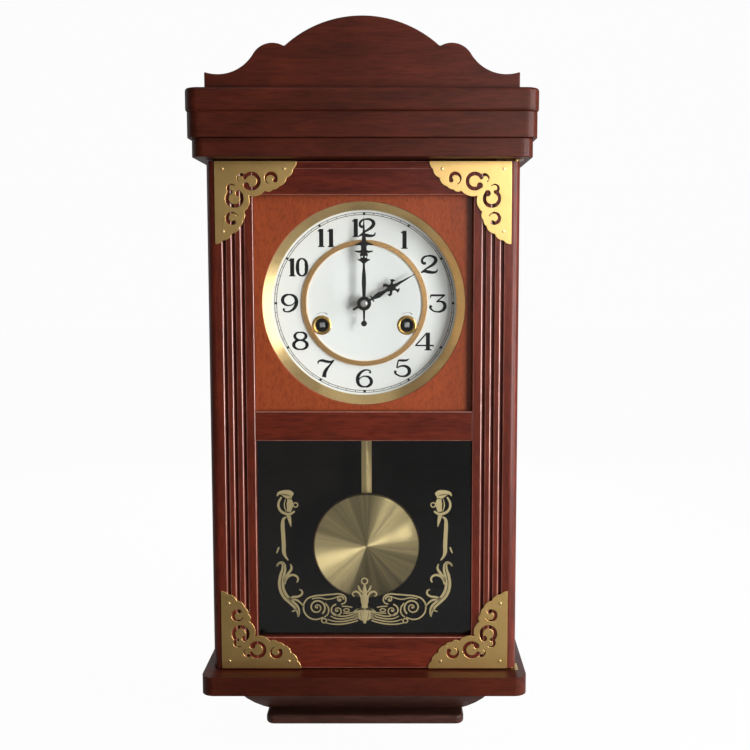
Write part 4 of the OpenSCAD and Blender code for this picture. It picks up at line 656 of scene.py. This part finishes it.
for low in range(4):
    base_scrolls.append(
        ("curve", [(-38.4 + 2.9 * low, 11.4 + 3.2 * low, 0.9),
                   (-31.4 + 1.9 * low, 10.0 + 2.7 * low, 1.3),
                   (-22.4 + low, 9.8 + 2.6 * low, 1.4), (-12.2, 11.6 + 2.5 * low, 1.4),
                   (-6.4, 13.4 + 2.2 * low, 1.3)]))
shell = [("curve", [(-1.0, 24.6, 1.6), (-2.2 - 1.9 * rib, 24.9 - 0.5 * rib, 2.0),
                    (-2.6 - 2.5 * rib, 21.2 - 0.2 * rib * rib, 2.6),
                    (-1.6 - 1.5 * rib, 12.6 + 0.9 * rib, 1.2)]) for rib in range(4)]
shell += [("curve", [(-2.6, 30.0, 1.6), (-3.6, 37.4, 2.2), (-6.4, 41.0, 2.4), (-10.2, 41.0, 1.8),
                     (-11.3, 38.4, 1.5), (-9.4, 36.8, 1.2)]),
          ("curve", [(-2.4, 40.6, 1.6), (-5.0, 44.2, 2.4), (-6.0, 47.4, 1.2)])]
middle = [("curve", [(0, 23.6, 6.0), (0, 31.0, 5.6), (0, 36.6, 5.2), (0, 42.6, 4.0),
                     (0, 48.2, 1.4)]),
          ("curve", [(0, 24.0, 3.0), (0, 17.0, 3.0), (0, 10.6, 2.4)]),
          hoop(0, 51.6, 2.8, 1.4)]
drawn_half = finial + baton + acanthus + base_scrolls + shell
other_half = [(kind, [(-x, z, width) for x, z, width in points]) for kind, points in drawn_half]
brushwork("gilt_ornament", drawn_half + other_half + middle, (0, GILT_BASE), GILT_FACE,
          GILT_THICK, gilt, "door")

# Pendulum: a brass-plated strip carries the bob, a spun brass disc whose face is turned so that
# light runs across it in rays; a painted highlight wedge and rays of painted shade are added to its
# colour. The rating nut below is turned brass.
ROD_BRASS = (0.66, 0.52, 0.26, 1)
ROD_SHADE = (0.50, 0.38, 0.18, 1)
rod_brass = metal("rod_brass", ROD_BRASS, ROD_SHADE, 0.24, along=(1, 1, 0.04), scratches=0.05,
                  turned=0.9, spin=0.0)
nut_brass = metal("nut_brass", BRASS, BRASS_SHADE, 0.22)
BOB_BRASS = (0.92, 0.76, 0.40, 1)
BOB_SHADE = (0.82, 0.65, 0.31, 1)
PAINTED_HIGHLIGHT_TURN = math.radians(26)


def make_bob_brass():
    """Turned brass: the lathe's marks run round the disc, and its rays of light and shade sit in
    the colour as well as in the direction of the marks."""
    material = metal("bob_brass", BOB_BRASS, BOB_SHADE, 0.19, scratches=0.01, turned=1.0)
    nodes, link = material.node_tree.nodes, material.node_tree.links.new
    shader = nodes["Principled BSDF"]
    surface = next(n for n in nodes if n.type == "GROUP")
    centre = (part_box("pendulum_bob")[0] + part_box("pendulum_bob")[1]) / 2
    place = add(nodes, "TexCoord")
    middle_at = add(nodes, "Mapping", {"Location": (-centre.x, -centre.y, -centre.z)})
    link(place.outputs["Object"], middle_at.inputs["Vector"])
    split = add(nodes, "SeparateXYZ")
    link(middle_at.outputs["Vector"], split.inputs["Vector"])
    ring = add(nodes, "CombineXYZ")
    link(split.outputs["X"], ring.inputs["X"])
    link(split.outputs["Z"], ring.inputs["Y"])
    way = add(nodes, "VectorMath", operation="NORMALIZE")
    link(ring.outputs["Vector"], way.inputs[0])
    # Painted light in the bob's colour: rays of painted shade from noise round the centre, and a
    # painted highlight wedge along one direction across the disc.
    rays = add(nodes, "TexNoise", {"Scale": 2.2, "Detail": 6, "Roughness": 0.62})
    link(way.outputs["Vector"], rays.inputs["Vector"])
    across = add(nodes, "VectorMath", {1: (math.cos(PAINTED_HIGHLIGHT_TURN), math.sin(PAINTED_HIGHLIGHT_TURN), 0)},
                 operation="DOT_PRODUCT")
    link(way.outputs["Vector"], across.inputs[0])
    wedge = add(nodes, "Math", operation="ABSOLUTE")
    link(across.outputs["Value"], wedge.inputs[0])
    lit = add(nodes, "Math", {1: 7.0}, operation="POWER")
    link(wedge.outputs[0], lit.inputs[0])
    both = add(nodes, "Math", {1: 0.38}, operation="MULTIPLY_ADD")
    link(lit.outputs[0], both.inputs[0])
    link(rays.outputs["Fac"], both.inputs[2])
    dark = add(nodes, "MapRange", {"From Min": 0.40, "From Max": 0.80, "To Min": 0.20})
    link(both.outputs[0], dark.inputs["Value"])
    shaded = add(nodes, "Mix", {"Factor": 0.85}, data_type="RGBA", blend_type="MULTIPLY")
    link(surface.outputs["Color"], shaded.inputs["A"])
    link(dark.outputs[0], shaded.inputs["B"])
    link(shaded.outputs["Result"], shader.inputs["Base Color"])
    material.node_tree.links.remove(shader.inputs["Roughness"].links[0])
    shader.inputs["Roughness"].default_value = 0.25
    return material


eased("pendulum_rod", 0.0006, rod_brass, rounds=3)
eased("pendulum_bob", 0.0006, make_bob_brass(), rounds=3)
eased("rating_nut", 0.0003, nut_brass, rounds=2)

# Movement: brass plates, wheels and barrels with steel arbors, plain from the machine. It stands
# behind the dial and shows from below with the door open.
movement_brass = metal("movement_brass", (0.60, 0.42, 0.15, 1), (0.42, 0.28, 0.09, 1), 0.28,
                       scratches=0.12)
arbor_steel = metal("arbor_steel", (0.56, 0.56, 0.57, 1), (0.40, 0.40, 0.41, 1), 0.20,
                    scratches=0.1)
fittings_brass = metal("fittings_brass", (0.55, 0.38, 0.13, 1), BRASS_SHADE, 0.25)
block_paint = painted("block_paint", (0.016, 0.016, 0.017, 1), (0.030, 0.029, 0.029, 1), 0.55,
                      peel=0.3)
magnet_face = painted("magnet_face", (0.030, 0.030, 0.032, 1), (0.048, 0.046, 0.045, 1), 0.6,
                      peel=0.3)
spring_blue = metal("spring_blue", (0.16, 0.19, 0.27, 1), (0.10, 0.12, 0.18, 1), 0.22)


def dress(nodes, material):
    for name in nodes.split():
        piece = frame["nodes"][name]
        piece.data.materials.clear()
        piece.data.materials.append(material)


def mark_faces(piece, x, z, chosen):
    """The second material on the faces whose farthest corner from an axis chosen accepts."""
    corners = piece.data.vertices
    for face in piece.data.polygons:
        reach = max(math.hypot(corners[v].co.x - x, corners[v].co.z - z) for v in face.vertices)
        if chosen(reach):
            face.material_index = 1


dress("front_plate back_plate plate_pillars suspension_cock centre_wheel minute_wheel hour_wheel "
      "intermediate_wheel third_wheel escape_wheel time_barrel strike_barrel strike_wheel "
      "strike_fly hammer", movement_brass)
ARBOR_REACH = 0.0026
for name in ("centre_wheel", "intermediate_wheel", "third_wheel", "escape_wheel", "strike_wheel"):
    piece = frame["nodes"][name]
    piece.data.materials.append(arbor_steel)
    low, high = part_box(name)
    mark_faces(piece, (low.x + high.x) / 2, (low.z + high.z) / 2,
               lambda reach: reach < ARBOR_REACH)
dress("anchor time_click strike_click cannon_pinion hanger_plate catch_plate", arbor_steel)
# The ratchets beyond the squares are made near black: oil-darkened steel, and painted shade for the
# depth of the winding holes.
ratchet_oil_and_shade = metal("ratchet_oil_and_shade", (0.030, 0.028, 0.027, 1), (0.018, 0.017, 0.017, 1), 0.42)
SQUARE_REACH = 0.0036
for arbor, axis_x in (("time_winding_arbor", WINDING_X), ("strike_winding_arbor", -WINDING_X)):
    piece = eased(arbor, 0.0003, arbor_steel, rounds=2)
    piece.data.materials.append(ratchet_oil_and_shade)
    mark_faces(piece, axis_x, DIAL_Z - WINDING_DROP, lambda reach: reach > SQUARE_REACH)
dress("suspension_spring", spring_blue)
eased("hand_nut", 0.0004, arbor_steel, rounds=2)

# Gong and fittings: an iron block screwed to the back board holds two straight steel rods. The
# hinges are pressed brass, and a small magnet holds the door shut.
dress("gong_block", block_paint)
eased("gong_rods", 0.0004, arbor_steel, rounds=2)
dress("hinge_plates hinge_pins case_screws", fittings_brass)
dress("catch_magnet", magnet_face)
for piece in frame["nodes"].values():
    if piece.hide_render:
        piece.data.materials.clear()
        piece.data.materials.append(case_lacquer)

# Studio: a pale floor that runs up into a backdrop, with soft lamps at the right, at the left,
# behind and above. Floor and world are seen as plain white, with the clock's shadow kept.
FLOOR_Z = -0.600


def seen_directly(nodes, link, value):
    """The value for what the camera sees, also through a pane, and nothing for reflected light."""
    seen, rays = seen_by_camera(nodes, link)
    bounces = add(nodes, "Math", operation="ADD")
    link(rays.outputs["Diffuse Depth"], bounces.inputs[0])
    link(rays.outputs["Glossy Depth"], bounces.inputs[1])
    direct = add(nodes, "Math", {1: 0.5}, operation="LESS_THAN")
    link(bounces.outputs[0], direct.inputs[0])
    both = add(nodes, "Math", operation="MULTIPLY")
    link(seen, both.inputs[0])
    link(direct.outputs[0], both.inputs[1])
    given = add(nodes, "Math", {1: value}, operation="MULTIPLY")
    link(both.outputs[0], given.inputs[0])
    return given.outputs[0]


def make_backdrop_paper():
    material, nodes, link = new_material("backdrop_paper")
    shader = nodes["Principled BSDF"]
    shader.inputs["Base Color"].default_value = (0.80, 0.80, 0.80, 1)
    shader.inputs["Roughness"].default_value = 0.9
    shader.inputs["Specular IOR Level"].default_value = 0.1
    white = add(nodes, "Emission", {"Strength": 1.0})
    mixed = add(nodes, "MixShader")
    link(seen_directly(nodes, link, 0.97), mixed.inputs["Fac"])
    link(shader.outputs["BSDF"], mixed.inputs[1])
    link(white.outputs["Emission"], mixed.inputs[2])
    link(mixed.outputs["Shader"], nodes["Material Output"].inputs["Surface"])
    return material


def sheet(name, size, place, upright=False):
    """A flat sheet with its middle at a place, which faces up or, upright, the clock."""
    bpy.ops.object.select_all(action="DESELECT")
    bpy.ops.mesh.primitive_plane_add(size=1, location=(0, 0, 0))
    piece = bpy.context.active_object
    piece.name = name
    bpy.ops.object.mode_set(mode="EDIT")
    bpy.ops.mesh.select_all(action="SELECT")
    bpy.ops.transform.resize(value=(*size, 1))
    if upright:
        bpy.ops.transform.rotate(value=math.radians(90), orient_axis="X",
                                 center_override=(0, 0, 0))
    bpy.ops.transform.translate(value=place)
    bpy.ops.object.mode_set(mode="OBJECT")
    return piece


floor = sheet("studio_floor", (12, 8), (0, -1.5, FLOOR_Z))
edit_edges(floor, lambda a, b: a.y > 0 and b.y > 0)
for rise in ((0, 0.6, 0.25), (0, 0.25, 0.6), (0, 0, 5.0)):
    bpy.ops.mesh.extrude_region_move(TRANSFORM_OT_translate={"value": rise})
bpy.ops.object.mode_set(mode="OBJECT")
floor.data.materials.append(make_backdrop_paper())

world = bpy.data.worlds.new("studio")
world.use_nodes = True
bpy.context.scene.world = world
nodes, link = world.node_tree.nodes, world.node_tree.links.new
background = nodes["Background"]
background.inputs["Color"].default_value = (1, 1, 1, 1)
strength = add(nodes, "MapRange", {"To Min": 0.15})
link(seen_directly(nodes, link, 1.0), strength.inputs["Value"])
link(strength.outputs[0], background.inputs["Strength"])


def soft_lamp(name, size, power, place, aim):
    lamp = bpy.data.lights.new(name, "AREA")
    lamp.shape = "RECTANGLE"
    lamp.size, lamp.size_y = size
    lamp.energy = power
    holder = bpy.data.objects.new(name, lamp)
    bpy.context.scene.collection.objects.link(holder)
    holder.location = place
    away = holder.location - type(holder.location)(aim)
    holder.rotation_euler = away.to_track_quat("Z", "Y").to_euler()


soft_lamp("right_lamp", (0.35, 1.3), 24, (1.25, -1.15, 0.0), (0.0, -0.06, -0.25))
soft_lamp("edge_lamp", (0.25, 1.5), 28, (1.7, -0.55, -0.1), (0.0, -0.1, -0.3))
soft_lamp("low_lamp", (0.10, 0.45), 8, (1.0, -1.3, -0.45), (0.0, -0.09, -0.40))
soft_lamp("left_lamp", (0.7, 1.2), 3, (-1.5, 0.45, 0.1), (0.0, -0.06, -0.25))
soft_lamp("back_lamp", (0.45, 0.8), 7, (0.0, 1.5, 0.0), (0.0, 0.0, -0.25))
soft_lamp("top_lamp", (1.2, 0.8), 5, (0.1, -0.7, 1.2), (0.0, -0.06, -0.1))

# Dark card of the studio: it lies on the floor before the clock and stands behind the camera and at
# the left. It is not seen itself; it keeps the panes clear and the clock's left side dark. The brass
# behind the panes sees it glow a little.
CARD_RISE = 1.5
card = sheet("dark_card", (2.2, 1.54), (-0.25, -0.93, FLOOR_Z + 0.002))
edit_edges(card, lambda a, b: max(a.y, b.y) < -1.6 or max(a.x, b.x) < -1.3)
bpy.ops.mesh.extrude_region_move(TRANSFORM_OT_translate={"value": (0, 0, CARD_RISE)})
bpy.ops.object.mode_set(mode="OBJECT")
card_felt = painted("card_felt", (0.13, 0.13, 0.13, 1), (0.15, 0.15, 0.15, 1), 0.9)
nodes, link = card_felt.node_tree.nodes, card_felt.node_tree.links.new
rays = add(nodes, "LightPath")
behind = add(nodes, "Math", operation="MULTIPLY")
link(rays.outputs["Transmission Depth"], behind.inputs[0])
link(rays.outputs["Is Glossy Ray"], behind.inputs[1])
glow = add(nodes, "Math", {1: 0.13}, operation="MULTIPLY")
link(behind.outputs[0], glow.inputs[0])
link(glow.outputs[0], nodes["Principled BSDF"].inputs["Emission Strength"])
nodes["Principled BSDF"].inputs["Emission Color"].default_value = (1, 0.99, 0.96, 1)
card.data.materials.append(card_felt)
card.visible_camera = card.visible_shadow = card.visible_transmission = False

# White board of the studio: it stands behind the camera at the right, and only reflections meet it.
white_card, nodes, link = new_material("white_card")
glow = add(nodes, "Emission", {"Strength": 6.0})
link(glow.outputs["Emission"], nodes["Material Output"].inputs["Surface"])
board = sheet("white_board", (0.42, 0.62), (0.46, -1.60, 0.14), upright=True)
board.data.materials.append(white_card)
board.visible_camera = board.visible_diffuse = board.visible_shadow = False
board.visible_transmission = False

# Camera: at the photo's height and distance, fitted to the clock's corners in it. It looks down a
# little, and a shift of the lens keeps the clock where the photo has it.
CAMERA_DIP = 5.55
camera = bpy.data.cameras.new("camera")
camera.lens = 51.84
camera.sensor_width = 36
camera.shift_x = -0.0312
eye = bpy.data.objects.new("camera", camera)
bpy.context.scene.collection.objects.link(eye)
eye.location = (0.0320, -1.100, -0.1261)
eye.rotation_euler = (math.radians(90 - CAMERA_DIP), 0, 0)
bpy.context.scene.camera = eye
bpy.context.scene.view_settings.view_transform = "Standard"
